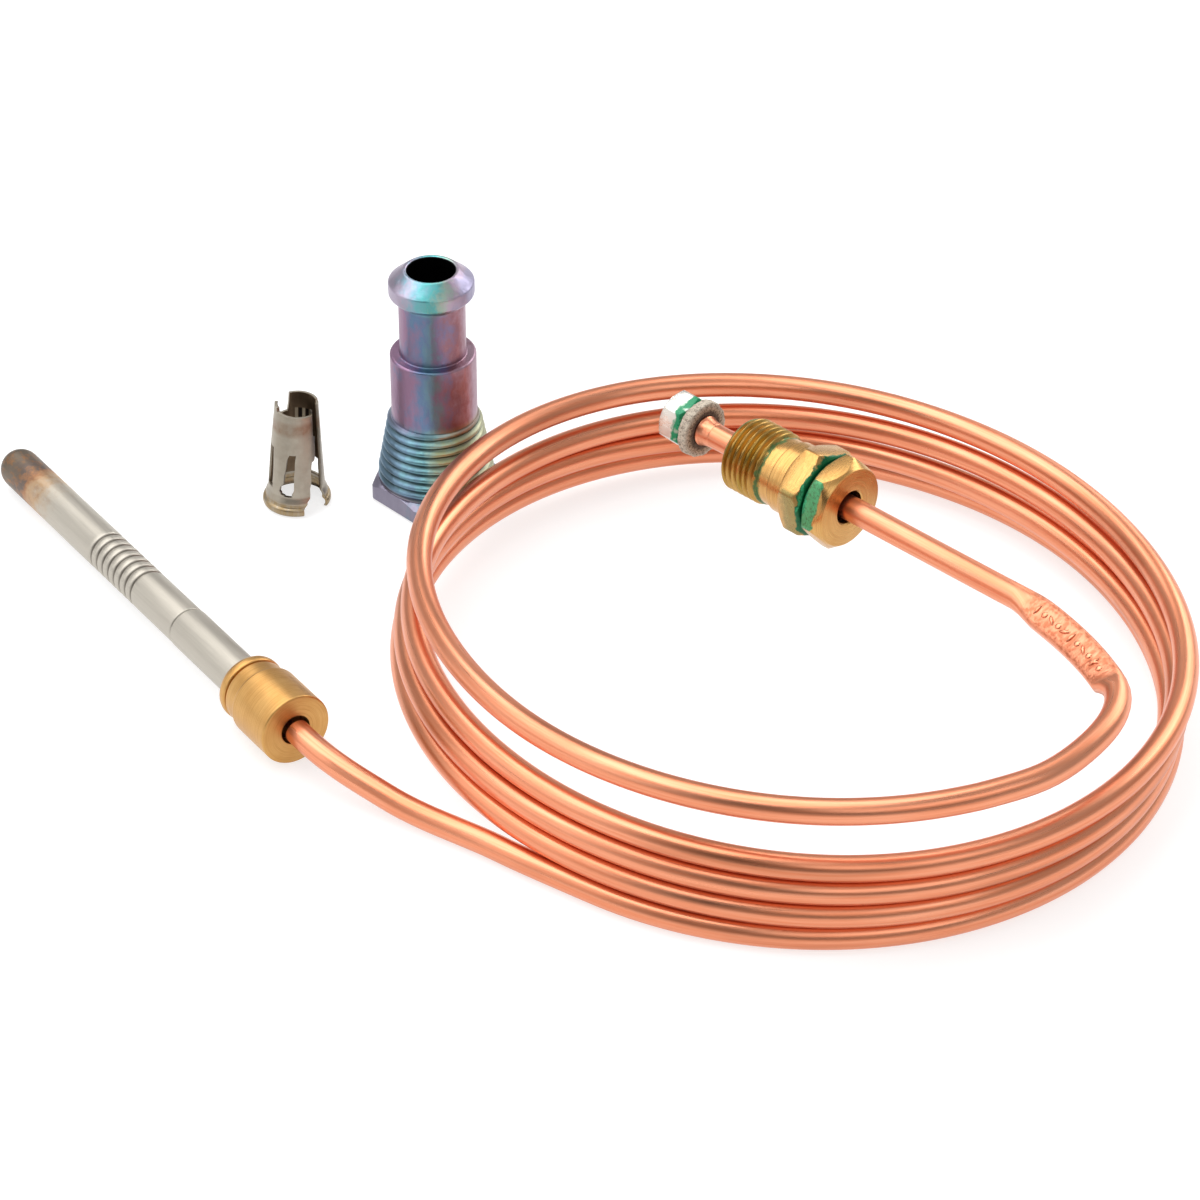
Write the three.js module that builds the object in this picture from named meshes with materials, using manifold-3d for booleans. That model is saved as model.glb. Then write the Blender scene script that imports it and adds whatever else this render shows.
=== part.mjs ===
// Universal gas-safety thermocouple with its two loose adapters, laid out on the plane z = 0.
// Millimetres, +Z up. The origin is on that plane, under the middle of the probe and adapters.
import * as THREE from "three";
import { mergeVertices } from "three/addons/utils/BufferGeometryUtils.js";
import Module from "manifold-3d";

const wasm = await Module();
wasm.setup();

const GAP = 0.3;
const ROUND_SIDES = 32;
const SMALL_SIDES = 20;

// Lead: a copper tube that holds the insulated inner wire.
const LEAD_RADIUS = 1.4;
const LEAD_SIDES = 8;
const CORE_WIRE_RADIUS = 0.45;

// Coil: four stacked turns of a slightly oval ring.
const COIL_CENTRE = [61.0, -16.0];
const COIL_RADIUS = 42.8;
const COIL_OVALITY = 2.25;
const COIL_LONG_AXIS_DEG = 123;
const STACKED_TURNS = 4;
const TURN_PITCH = 2.85;
const COIL_WALL = 4.8;
const COIL_HEIGHT = STACKED_TURNS * TURN_PITCH;

// Last turn: lifts off the stack. Each row is [plan angle in degrees, centre x, centre y, height].
const LAST_TURN_RADIUS = 42.8;
const LAST_TURN_LONG_AXIS_DEG = 132.6;
const LAST_TURN_ROWS = [
  [158, 63.0, -15.2, 13.3],
  [200, 64.4, -15.5, 14.2],
  [270, 63.2, -15.6, 16.5],
  [320, 62.3, -15.6, 18.2],
];
const LAST_TURN_STEP_DEG = 9;
const LAST_TURN_END_DEG = 302;

// Connector end: the lead runs straight and level towards its contact.
const CONNECTOR_HEIGHT = 18.2;
const NUT_FACE = new THREE.Vector3(67.8, -7.1, CONNECTOR_HEIGHT);
const CONNECTOR_AXIS = new THREE.Vector3(-1, 1, 0).normalize();
const CONNECTOR_LEVEL = new THREE.Vector3(1, 1, 0).normalize();
const STRAIGHT_LENGTH = 21.5;
const BEND_POINTS = [
  [86.6, -26.1], [88.9, -29.2], [91.1, -33.2], [92.9, -37.3],
  [93.8, -41.3], [93.1, -45.0], [90.2, -49.7],
];

// Stretch from the sleeve down to the surface and along it to the coil.
const PROBE_END_POINTS = [
  [9.0, -29.9, 4.2], [10.1, -31.3, 4.1], [11.8, -33.1, 3.8], [14.0, -34.8, 3.2],
  [16.9, -36.8, 2.5], [19.6, -38.6, 1.9], [21.7, -39.9, 1.6],
];

// Probe: axis from the sleeve's end face to the tip.
const SLEEVE_FACE = new THREE.Vector3(8.2, -28.8, 4.32);
const TIP_CENTRE = new THREE.Vector3(-26.95, 24.3, 2.45);
const SHEATH_RADIUS = 2.38;
const SHEATH_BORE = 1.9;
const SEAM_TO_TIP = 40.3;
const GROOVES_FROM_TIP = 21.6;
const GROOVE_COUNT = 8;
const GROOVE_PITCH = 1.33;
const GROOVE_DEPTH = 0.2;
const SLEEVE_RADIUS = 4.1;
const SLEEVE_BODY = 6.7;
const SLEEVE_NECK_RADIUS = 3.72;
const SLEEVE_NECK = 8.7;
const SLEEVE_LENGTH = 10.9;
const SLEEVE_FLOOR = 1.6;
const LOWER_TUBE_RADIUS = 2.44;
const LOWER_TUBE_START = 3.6;
const INSULATOR_RADIUS = 1.6;
const ELECTRODE_RADIUS = 0.8;

// Connector: a back nut screwed into a bush, both 3/8 in across the flats. The bush's thread is
// 11/32 in by 32 threads to the inch. Distances run from the back nut's end face.
const NUT_LENGTH = 15.7;
const NUT_BORE = 1.95;
const NUT_FLATS = 9.5;
const FACE_RADIUS = 4.56;
const HEAD_CHAMFER = 0.7;
const BACK_FACE_CHAMFER = 1.25;
const BACK_HEAD_LENGTH = 2.95;
const BACK_NUT_TURN_DEG = -10;
const BUSH_TURN_DEG = -40;
const SPIGOT_RADIUS = 2.9;
const SPIGOT_END = 8.0;
const COLLAR_END = 6.6;
const SHOULDER_RADIUS = 4.2;
const SHOULDER_END = 8.6;
const NECK_RADIUS = 3.95;
const THREAD_RADIUS = 4.36;
const THREAD_ROOT = 3.9;
const THREAD_PITCH = 0.794;
const THREAD_CRESTS = 7;

// Contact end, measured along the lead from the nut's end face.
const FLARE_START = 20.3;
const FLARE_LENGTH = 0.8;
const FLARE_RADIUS = 1.8;
const FLARE_BORE = 0.75;
const FLARE_SPIGOT_RADIUS = 1.5;
const WASHER_START = 21.9;
const WASHER_THICKNESS = 1.2;
const WASHER_RADIUS = 3.35;
const FERRULE_START = 23.4;
const FERRULE_LENGTH = 3.0;
const FERRULE_FLATS = 5.6;
const FERRULE_CHAMFER = 0.5;
const FERRULE_TURN_DEG = -15;
const BUTTON_RADIUS = 1.4;
const BUTTON_DEPTH = 0.6;
const BUTTON_RISE = 0.9;

// Threaded adapter.
const ADAPTER_PLACE = [21.5, 23.6];
const ADAPTER_HEIGHT = 30.0;
const ADAPTER_BORE = 2.78;
const ADAPTER_HEAD_RADIUS = 4.92;
const ADAPTER_HEAD_BOTTOM = 27.1;
const ADAPTER_NECK_RADIUS = 3.83;
const ADAPTER_NECK_BOTTOM = 19.1;
const ADAPTER_BODY_RADIUS = 4.97;
const FLANGE_CORNER_RADIUS = 7.7;
const FLANGE_HEIGHT = 2.35;
const FLANGE_TURN_DEG = 13.4;
const TAPER_CRESTS = 8;
const TAPER_TOP_RADIUS = 5.4;
const TAPER_BOTTOM_RADIUS = 6.9;
const TAPER_TOP = 10.9;
const TAPER_DEPTH = 0.35;

// Spring clip.
const CLIP_PLACE = [5.3, 21.7];
const CLIP_HEIGHT = 13.4;
const CLIP_SHEET = 0.35;
const CLIP_PROFILE = [
  [3.7, 0], [3.95, 0.35], [3.95, 0.8], [3.5, 1.3], [3.35, 1.9], [2.9, 7.5], [2.5, CLIP_HEIGHT],
];

// Each row is [from angle, to angle, bottom, top], angles in degrees from +X.
const BELOW_CLIP = -1;
const ABOVE_CLIP = CLIP_HEIGHT + 1;
const CLIP_WINDOWS = [
  [-42, -8, 10.1, ABOVE_CLIP],
  [-39, -12, 6.9, 10.1],
  [-54, -18, 1.9, 6.9],
  [-72, -22, BELOW_CLIP, 1.9],
  [8, 20, 1.9, ABOVE_CLIP],
  [20, 62, 1.9, 4.7],
  [116, 172, 11.2, ABOVE_CLIP],
  [-112, -92, 2.4, 7.9],
  [-172, -146, 2.9, 8.2],
];

function material(color, roughness, metalness) {
  return new THREE.MeshStandardMaterial({ color, roughness, metalness });
}

const stainless = () => material(0xbdb9b0, 0.35, 1.0);
const brass = () => material(0xd9b264, 0.3, 1.0);
const copper = () => material(0xd9784a, 0.3, 1.0);
const tin = () => material(0xe4e2dc, 0.25, 1.0);
const insulation = () => material(0xe9e2d0, 0.9, 0.0);
const fibre = () => material(0x8a7464, 0.95, 0.0);
const constantan = () => material(0xb9a894, 0.4, 1.0);
const chromate = () => material(0x7fa3a6, 0.3, 1.0);
const springSteel = () => material(0xb6aea2, 0.4, 1.0);

function node(name, geometry, surface) {
  const mesh = new THREE.Mesh(geometry, surface);
  mesh.name = name;
  return mesh;
}

// Solid of revolution about +Z. Each profile point is [radius, height].
function revolve(profile, sides) {
  const points = profile.map(([radius, height]) => new THREE.Vector2(radius, height));
  return new THREE.LatheGeometry(points, sides).rotateX(Math.PI / 2);
}

// Hollow solid of revolution between two radii, square ended.
function ring(inner, outer, start, end, sides) {
  const profile = [[inner, start], [outer, start], [outer, end], [inner, end], [inner, start]];
  return revolve(profile, sides);
}

function cylinder(radius, start, end, sides) {
  return revolve([[0, start], [radius, start], [radius, end], [0, end]], sides);
}

// Hexagonal prism along +Z with one corner `turnDeg` from +X.
function hexagonPrism(corner, start, end, turnDeg) {
  const sides = 6;
  const prism = new THREE.CylinderGeometry(corner, corner, end - start, sides);
  prism.rotateX(Math.PI / 2);
  prism.rotateZ(THREE.MathUtils.degToRad(turnDeg) - Math.PI / sides);
  return prism.translate(0, 0, (start + end) / 2);
}

const cornerRadius = (acrossFlats) => acrossFlats / Math.sqrt(3);

function toSolid(geometry) {
  const plain = geometry.clone();
  plain.deleteAttribute("normal");
  plain.deleteAttribute("uv");
  const merged = mergeVertices(plain);
  const vertProperties = new Float32Array(merged.attributes.position.array);
  const triVerts = new Uint32Array(merged.index.array);
  return new wasm.Manifold(new wasm.Mesh({ numProp: 3, vertProperties, triVerts }));
}

function toGeometry(solid) {
  const mesh = solid.getMesh();
  const geometry = new THREE.BufferGeometry();
  geometry.setAttribute("position", new THREE.BufferAttribute(mesh.vertProperties, 3));
  geometry.setIndex(new THREE.BufferAttribute(mesh.triVerts, 1));
  return geometry;
}

function tube(points, steps) {
  const path = new THREE.CatmullRomCurve3(points, false, "centripetal");
  const section = new THREE.Shape();
  for (let i = 0; i < LEAD_SIDES; i += 1) {
    const angle = (2 * Math.PI * (i + 0.5)) / LEAD_SIDES;
    const x = LEAD_RADIUS * Math.cos(angle);
    const y = LEAD_RADIUS * Math.sin(angle);
    if (i === 0) section.moveTo(x, y);
    else section.lineTo(x, y);
  }
  section.closePath();
  return new THREE.ExtrudeGeometry(section, { steps, extrudePath: path, bevelEnabled: false });
}

// Group whose +Z runs from a place along an axis.
function placeAlong(origin, axis) {
  const group = new THREE.Group();
  group.position.copy(origin);
  group.quaternion.setFromUnitVectors(new THREE.Vector3(0, 0, 1), axis);
  return group;
}

// ---- Probe -------------------------------------------------------------------------------

const probeVector = TIP_CENTRE.clone().sub(SLEEVE_FACE);
const PROBE_LENGTH = probeVector.length();
const SEAM = PROBE_LENGTH - SEAM_TO_TIP;

function sheathUpperTube() {
  const profile = [[SHEATH_BORE, SEAM + GAP], [SHEATH_RADIUS, SEAM + GAP]];
  const firstGroove = PROBE_LENGTH - GROOVES_FROM_TIP;
  const groovesStart = firstGroove - (GROOVE_COUNT - 1) * GROOVE_PITCH;
  for (let i = 0; i < GROOVE_COUNT; i += 1) {
    const middle = groovesStart + i * GROOVE_PITCH;
    profile.push([SHEATH_RADIUS, middle - GROOVE_DEPTH]);
    profile.push([SHEATH_RADIUS - GROOVE_DEPTH, middle]);
    profile.push([SHEATH_RADIUS, middle + GROOVE_DEPTH]);
  }
  const domeSteps = 6;
  for (let i = 0; i < domeSteps; i += 1) {
    const angle = (Math.PI / 2) * (i / domeSteps);
    profile.push([SHEATH_RADIUS * Math.cos(angle), PROBE_LENGTH + SHEATH_RADIUS * Math.sin(angle)]);
  }
  profile.push([0, PROBE_LENGTH + SHEATH_RADIUS]);
  profile.push([0, PROBE_LENGTH + SHEATH_BORE]);
  profile.push([SHEATH_BORE, PROBE_LENGTH]);
  profile.push([SHEATH_BORE, SEAM + GAP]);
  return node("sheath_upper_tube", revolve(profile, ROUND_SIDES), stainless());
}

function sheathLowerTube() {
  const geometry = ring(SHEATH_BORE, LOWER_TUBE_RADIUS, LOWER_TUBE_START, SEAM, ROUND_SIDES);
  return node("sheath_lower_tube", geometry, stainless());
}

function brassSleeve() {
  const leadBore = LEAD_RADIUS + GAP;
  const sheathBore = LOWER_TUBE_RADIUS + GAP;
  const chamfer = 0.15;
  const shoulder = 0.3;
  const grooveEnd = SLEEVE_NECK + 0.25;
  const grooveRadius = SLEEVE_NECK_RADIUS - 0.25;
  const collarRadius = SLEEVE_NECK_RADIUS + 0.06;
  const collarEnd = SLEEVE_LENGTH - 1;
  const profile = [
    [leadBore, 0],
    [SLEEVE_RADIUS - chamfer, 0],
    [SLEEVE_RADIUS, chamfer],
    [SLEEVE_RADIUS, SLEEVE_BODY],
    [SLEEVE_NECK_RADIUS, SLEEVE_BODY + shoulder],
    [SLEEVE_NECK_RADIUS, SLEEVE_NECK],
    [grooveRadius, SLEEVE_NECK],
    [grooveRadius, grooveEnd],
    [collarRadius, grooveEnd],
    [collarRadius, collarEnd],
    [sheathBore + chamfer, SLEEVE_LENGTH],
    [sheathBore, SLEEVE_LENGTH],
    [sheathBore, SLEEVE_FLOOR],
    [leadBore, SLEEVE_FLOOR],
    [leadBore, 0],
  ];
  return node("brass_sleeve", revolve(profile, ROUND_SIDES), brass());
}

// Spindle about +Z: a cylinder with a cone at each end.
function bead(radius, middle, halfStraight, halfLength) {
  const profile = [[0, middle - halfLength], [radius, middle - halfStraight]];
  profile.push([radius, middle + halfStraight], [0, middle + halfLength]);
  return revolve(profile, SMALL_SIDES);
}

function coldJunction() {
  const middle = 7.0;
  const halfLength = 1.0;
  const bushStart = SLEEVE_FLOOR + GAP;
  const bushEnd = LOWER_TUBE_START - GAP;
  const wireStart = 0.4;
  const wireEnd = middle - halfLength - GAP;
  const bush = ring(LEAD_RADIUS + 0.2, SHEATH_RADIUS, bushStart, bushEnd, SMALL_SIDES);
  const wire = cylinder(CORE_WIRE_RADIUS, wireStart, wireEnd, SMALL_SIDES);
  return [
    node("cold_junction_bush", bush, brass()),
    node("cold_junction_weld", bead(0.9, middle, 0.5, halfLength), tin()),
    node("core_wire_probe_end", wire, copper()),
  ];
}

function hotElectrode() {
  const rodStart = 8.3;
  const rodEnd = PROBE_LENGTH - 0.6;
  const weldStart = rodEnd + GAP;
  const insulatorBore = ELECTRODE_RADIUS + 0.2;
  const insulatorStart = 9.0;
  const insulatorJoint = 34.0;
  const insulatorEnd = rodEnd - 4.0;
  const rod = cylinder(ELECTRODE_RADIUS, rodStart, rodEnd, SMALL_SIDES);
  const weldProfile = [[0, weldStart], [1.2, weldStart], [0.9, weldStart + 0.9]];
  weldProfile.push([0, weldStart + 1.4]);
  const cold = ring(
    insulatorBore, INSULATOR_RADIUS, insulatorStart, insulatorJoint - GAP, SMALL_SIDES,
  );
  const hot = ring(insulatorBore, INSULATOR_RADIUS, insulatorJoint, insulatorEnd, SMALL_SIDES);
  return [
    node("inner_electrode", rod, constantan()),
    node("hot_junction_weld", revolve(weldProfile, SMALL_SIDES), stainless()),
    node("electrode_insulator_cold", cold, insulation()),
    node("electrode_insulator_hot", hot, insulation()),
  ];
}

function probe() {
  const group = placeAlong(SLEEVE_FACE, probeVector.clone().normalize());
  group.add(sheathUpperTube(), sheathLowerTube(), brassSleeve());
  group.add(...coldJunction(), ...hotElectrode());
  return group;
}

// ---- Lead --------------------------------------------------------------------------------

function leadProbeEnd() {
  const points = PROBE_END_POINTS.map((point) => new THREE.Vector3(...point));
  const steps = 10;
  return node("lead_probe_end", tube(points, steps), copper());
}

function leadCoil() {
  const inner = COIL_RADIUS - COIL_WALL / 2;
  const outer = COIL_RADIUS + COIL_WALL / 2;
  const sides = 48;
  const coil = node("lead_coil", ring(inner, outer, 0, COIL_HEIGHT, sides), copper());
  const stretch = COIL_OVALITY / COIL_RADIUS;
  coil.scale.set(1 + stretch, 1 - stretch, 1);
  coil.rotation.z = THREE.MathUtils.degToRad(COIL_LONG_AXIS_DEG);
  coil.position.set(COIL_CENTRE[0], COIL_CENTRE[1], 0);
  return coil;
}

function lastTurnPoint(angleDeg) {
  const row = LAST_TURN_ROWS.findIndex((entry) => angleDeg < entry[0]);
  const before = LAST_TURN_ROWS[row - 1];
  const after = LAST_TURN_ROWS[row];
  const share = (angleDeg - before[0]) / (after[0] - before[0]);
  const [, centreX, centreY, height] = before.map((value, i) => value + share * (after[i] - value));
  const angle = THREE.MathUtils.degToRad(angleDeg);
  const oval = Math.cos(2 * (angle - THREE.MathUtils.degToRad(LAST_TURN_LONG_AXIS_DEG)));
  const radius = LAST_TURN_RADIUS + COIL_OVALITY * oval;
  return new THREE.Vector3(
    centreX + radius * Math.cos(angle),
    centreY + radius * Math.sin(angle),
    height,
  );
}

function leadLastTurn() {
  const points = [];
  for (let angle = LAST_TURN_ROWS[0][0]; angle <= LAST_TURN_END_DEG; angle += LAST_TURN_STEP_DEG) {
    points.push(lastTurnPoint(angle));
  }
  for (const [x, y] of [...BEND_POINTS].reverse()) {
    points.push(new THREE.Vector3(x, y, CONNECTOR_HEIGHT));
  }
  const straightPieces = 6;
  const end = FLARE_START - GAP;
  for (let i = 0; i <= straightPieces; i += 1) {
    const along = -STRAIGHT_LENGTH + (i / straightPieces) * (STRAIGHT_LENGTH + end);
    points.push(NUT_FACE.clone().addScaledVector(CONNECTOR_AXIS, along));
  }
  const steps = 70;
  return node("lead_last_turn", tube(points, steps), copper());
}

// ---- Connector ---------------------------------------------------------------------------

// Hexagonal bar turned down by a chamfer at each end.
function hexagonHead(start, end, startRadius, startChamfer, endRadius, endChamfer, turnDeg) {
  const corner = cornerRadius(NUT_FLATS);
  const turned = revolve([
    [0, start], [startRadius, start], [corner, start + startChamfer],
    [corner, end - endChamfer], [endRadius, end], [0, end],
  ], ROUND_SIDES);
  return toSolid(hexagonPrism(corner, start, end, turnDeg)).intersect(toSolid(turned));
}

function backNut() {
  const head = hexagonHead(
    0, BACK_HEAD_LENGTH, FACE_RADIUS, BACK_FACE_CHAMFER, FACE_RADIUS, HEAD_CHAMFER,
    BACK_NUT_TURN_DEG,
  );
  const overlap = 1;
  const spigot = cylinder(SPIGOT_RADIUS, BACK_HEAD_LENGTH - overlap, SPIGOT_END, SMALL_SIDES);
  const bore = cylinder(NUT_BORE, -overlap, SPIGOT_END + overlap, SMALL_SIDES);
  return node("back_nut", toGeometry(head.add(toSolid(spigot)).subtract(toSolid(bore))), brass());
}

function bushShank(start) {
  const threadStart = NUT_LENGTH - THREAD_CRESTS * THREAD_PITCH;
  const profile = [[0, start], [SHOULDER_RADIUS, start], [SHOULDER_RADIUS, SHOULDER_END]];
  profile.push([NECK_RADIUS, SHOULDER_END], [NECK_RADIUS, threadStart]);
  for (let i = 0; i < THREAD_CRESTS; i += 1) {
    const middle = threadStart + (i + 0.5) * THREAD_PITCH;
    profile.push([THREAD_RADIUS, middle]);
    profile.push([THREAD_ROOT, middle + THREAD_PITCH / 2]);
  }
  profile.push([0, NUT_LENGTH]);
  return toSolid(revolve(profile, ROUND_SIDES));
}

function threadedBush() {
  const start = BACK_HEAD_LENGTH + GAP;
  const overlap = 1;
  const head = hexagonHead(
    start, COLLAR_END, FACE_RADIUS, HEAD_CHAMFER, FACE_RADIUS, HEAD_CHAMFER, BUSH_TURN_DEG,
  );
  const wideBore = cylinder(SPIGOT_RADIUS + GAP, start - overlap, SPIGOT_END + GAP, SMALL_SIDES);
  const narrowBore = cylinder(NUT_BORE, SPIGOT_END, NUT_LENGTH + overlap, SMALL_SIDES);
  const body = bushShank(start + overlap).add(head)
    .subtract(toSolid(wideBore)).subtract(toSolid(narrowBore));
  return node("threaded_bush", toGeometry(body), brass());
}

function leadEndFlare(spigotEnd) {
  const flareEnd = WASHER_START - 0.1;
  const profile = [
    [FLARE_BORE, FLARE_START],
    [LEAD_RADIUS, FLARE_START],
    [FLARE_RADIUS, FLARE_START + FLARE_LENGTH],
    [FLARE_RADIUS, flareEnd],
    [FLARE_SPIGOT_RADIUS, flareEnd],
    [FLARE_SPIGOT_RADIUS, spigotEnd],
    [FLARE_BORE, spigotEnd],
    [FLARE_BORE, FLARE_START],
  ];
  return node("lead_end_flare", revolve(profile, SMALL_SIDES), copper());
}

function contactFerrule(start, end, bore) {
  const corner = cornerRadius(FERRULE_FLATS);
  const overlap = 1;
  const hexagon = toSolid(hexagonPrism(corner, start, end, FERRULE_TURN_DEG));
  const turned = toSolid(revolve([
    [0, start], [corner, start], [corner, end - FERRULE_CHAMFER],
    [corner - FERRULE_CHAMFER, end], [0, end],
  ], SMALL_SIDES));
  const hole = toSolid(cylinder(bore, start - overlap, end + overlap, SMALL_SIDES));
  const shaped = hexagon.intersect(turned).subtract(hole);
  return node("contact_ferrule", toGeometry(shaped), tin());
}

function contactButton(start, ferruleEnd) {
  const profile = [
    [0, start],
    [BUTTON_RADIUS, start],
    [BUTTON_RADIUS, ferruleEnd + BUTTON_RISE - 0.7],
    [BUTTON_RADIUS - 0.5, ferruleEnd + BUTTON_RISE - 0.2],
    [0, ferruleEnd + BUTTON_RISE],
  ];
  return node("contact_button", revolve(profile, SMALL_SIDES), tin());
}

function contactEnd() {
  const bore = FLARE_SPIGOT_RADIUS + GAP;
  const washerEnd = WASHER_START + WASHER_THICKNESS;
  const washer = ring(bore, WASHER_RADIUS, WASHER_START, washerEnd, ROUND_SIDES);
  const ferruleEnd = FERRULE_START + FERRULE_LENGTH;
  const spigotEnd = FERRULE_START + 1.3;
  const buttonStart = ferruleEnd - BUTTON_DEPTH;
  const wireHole = CORE_WIRE_RADIUS + 0.2;
  const insulator = ring(
    wireHole, FLARE_SPIGOT_RADIUS, spigotEnd + GAP, buttonStart - GAP, SMALL_SIDES,
  );
  const wire = cylinder(CORE_WIRE_RADIUS, FLARE_START, buttonStart - GAP, SMALL_SIDES);
  return [
    leadEndFlare(spigotEnd),
    node("fibre_washer", washer, fibre()),
    contactFerrule(FERRULE_START, ferruleEnd, bore),
    node("contact_insulator", insulator, insulation()),
    contactButton(buttonStart, ferruleEnd),
    node("core_wire_contact_end", wire, copper()),
  ];
}

// The connector's own frame has +Z along the lead, +X level and +Y down.
function connector() {
  const down = new THREE.Vector3(0, 0, -1);
  const frame = new THREE.Matrix4().makeBasis(CONNECTOR_LEVEL, down, CONNECTOR_AXIS);
  const group = new THREE.Group();
  group.position.copy(NUT_FACE);
  group.quaternion.setFromRotationMatrix(frame);
  group.add(backNut(), threadedBush(), ...contactEnd());
  return group;
}

// ---- Loose adapters ----------------------------------------------------------------------

function adapterProfile() {
  const chamfer = 0.2;
  const profile = [[0, 0], [TAPER_BOTTOM_RADIUS - TAPER_DEPTH, 0]];
  profile.push([TAPER_BOTTOM_RADIUS - TAPER_DEPTH, FLANGE_HEIGHT]);
  const pitch = (TAPER_TOP - FLANGE_HEIGHT) / TAPER_CRESTS;
  for (let i = 0; i < TAPER_CRESTS; i += 1) {
    const share = i / (TAPER_CRESTS - 1);
    const crest = TAPER_BOTTOM_RADIUS + share * (TAPER_TOP_RADIUS - TAPER_BOTTOM_RADIUS);
    const middle = FLANGE_HEIGHT + (i + 0.5) * pitch;
    profile.push([crest, middle]);
    profile.push([crest - TAPER_DEPTH, middle + pitch / 2]);
  }
  profile.push([ADAPTER_BODY_RADIUS, TAPER_TOP]);
  profile.push([ADAPTER_BODY_RADIUS, ADAPTER_NECK_BOTTOM - chamfer]);
  profile.push([ADAPTER_BODY_RADIUS - chamfer, ADAPTER_NECK_BOTTOM]);
  profile.push([ADAPTER_NECK_RADIUS, ADAPTER_NECK_BOTTOM]);
  profile.push([ADAPTER_NECK_RADIUS, ADAPTER_HEAD_BOTTOM - 0.9]);
  profile.push([ADAPTER_HEAD_RADIUS - 0.3, ADAPTER_HEAD_BOTTOM - 0.4]);
  profile.push([ADAPTER_HEAD_RADIUS, ADAPTER_HEAD_BOTTOM]);
  profile.push([ADAPTER_HEAD_RADIUS, ADAPTER_HEIGHT - 1.4]);
  profile.push([ADAPTER_BORE + 0.4, ADAPTER_HEIGHT], [0, ADAPTER_HEIGHT]);
  return profile;
}

function threadedAdapter() {
  const overlap = 1;
  const flange = toSolid(hexagonPrism(FLANGE_CORNER_RADIUS, 0, FLANGE_HEIGHT, FLANGE_TURN_DEG));
  const bore = cylinder(ADAPTER_BORE, -overlap, ADAPTER_HEIGHT + overlap, ROUND_SIDES);
  const turned = toSolid(revolve(adapterProfile(), ROUND_SIDES));
  const adapter = node(
    "threaded_adapter", toGeometry(turned.add(flange).subtract(toSolid(bore))), chromate(),
  );
  adapter.position.set(ADAPTER_PLACE[0], ADAPTER_PLACE[1], 0);
  return adapter;
}

// Sector that cuts a window in the clip: plan angles in degrees, heights in millimetres.
function clipWindow(fromDeg, toDeg, bottom, top) {
  const inner = 1.0;
  const outer = 7.0;
  const from = THREE.MathUtils.degToRad(fromDeg);
  const to = THREE.MathUtils.degToRad(toDeg);
  const sector = new THREE.Shape();
  const arcSteps = 8;
  sector.moveTo(inner * Math.cos(from), inner * Math.sin(from));
  for (let i = 0; i <= arcSteps; i += 1) {
    const angle = from + (i / arcSteps) * (to - from);
    sector.lineTo(outer * Math.cos(angle), outer * Math.sin(angle));
  }
  sector.lineTo(inner * Math.cos(to), inner * Math.sin(to));
  sector.closePath();
  const prism = new THREE.ExtrudeGeometry(sector, { depth: top - bottom, bevelEnabled: false });
  return toSolid(prism.translate(0, 0, bottom));
}

function springClip() {
  const sides = 36;
  const inner = CLIP_PROFILE.map(([radius, height]) => [radius - CLIP_SHEET, height]).reverse();
  let sheet = toSolid(revolve([...CLIP_PROFILE, ...inner, CLIP_PROFILE[0]], sides));
  for (const [from, to, bottom, top] of CLIP_WINDOWS) {
    sheet = sheet.subtract(clipWindow(from, to, bottom, top));
  }
  const clip = node("spring_clip", toGeometry(sheet), springSteel());
  clip.position.set(CLIP_PLACE[0], CLIP_PLACE[1], 0);
  return clip;
}

// ---- Assembly ----------------------------------------------------------------------------

const thermocouple = new THREE.Group();
thermocouple.add(probe(), leadProbeEnd(), leadCoil(), leadLastTurn(), connector());
thermocouple.add(threadedAdapter(), springClip());

export default thermocouple;
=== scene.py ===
"""Looks of the gas-safety thermocouple and its two loose adapters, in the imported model's frame.

Lengths of the pieces are in millimetres until a mesh is made. Meshes and their bumps, the camera,
the floor and the lights are in metres.
"""
import math

import bmesh
import bpy
import numpy as np
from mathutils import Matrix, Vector


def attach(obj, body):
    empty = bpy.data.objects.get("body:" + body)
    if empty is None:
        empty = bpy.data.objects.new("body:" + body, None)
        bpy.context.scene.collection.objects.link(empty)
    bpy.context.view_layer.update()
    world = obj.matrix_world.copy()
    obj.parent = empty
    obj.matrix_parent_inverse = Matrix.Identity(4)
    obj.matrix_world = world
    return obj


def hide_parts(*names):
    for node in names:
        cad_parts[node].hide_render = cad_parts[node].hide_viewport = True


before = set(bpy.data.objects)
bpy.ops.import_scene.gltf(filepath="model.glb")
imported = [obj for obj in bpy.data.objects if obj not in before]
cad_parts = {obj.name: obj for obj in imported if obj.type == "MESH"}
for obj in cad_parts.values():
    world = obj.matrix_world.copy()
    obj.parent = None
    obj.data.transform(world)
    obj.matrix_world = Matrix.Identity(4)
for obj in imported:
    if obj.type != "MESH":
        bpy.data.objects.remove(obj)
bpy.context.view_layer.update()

MM = 0.001
SHARP_DEG = 32
ROUND_SIDES = 96
FIXED = "probe_and_lead"
UP = np.array([0.0, 0.0, 1.0])

# ---- Camera ------------------------------------------------------------------------------

CAMERA_PLACE = (0.0406, -0.3997, 0.2834)
CAMERA_TILT_DEG = 35.25
CAMERA_LENS = 130.65


def make_camera():
    data = bpy.data.cameras.new("camera")
    data.lens = CAMERA_LENS
    data.sensor_width = 36
    data.clip_start = 0.01
    camera = bpy.data.objects.new("camera", data)
    camera.location = CAMERA_PLACE
    camera.rotation_euler = (math.radians(90 - CAMERA_TILT_DEG), 0, 0)
    bpy.context.scene.collection.objects.link(camera)
    bpy.context.scene.camera = camera


make_camera()

# ---- Mesh helpers ------------------------------------------------------------------------


def unit(v):
    v = np.asarray(v, float)
    return v / np.linalg.norm(v)


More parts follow.
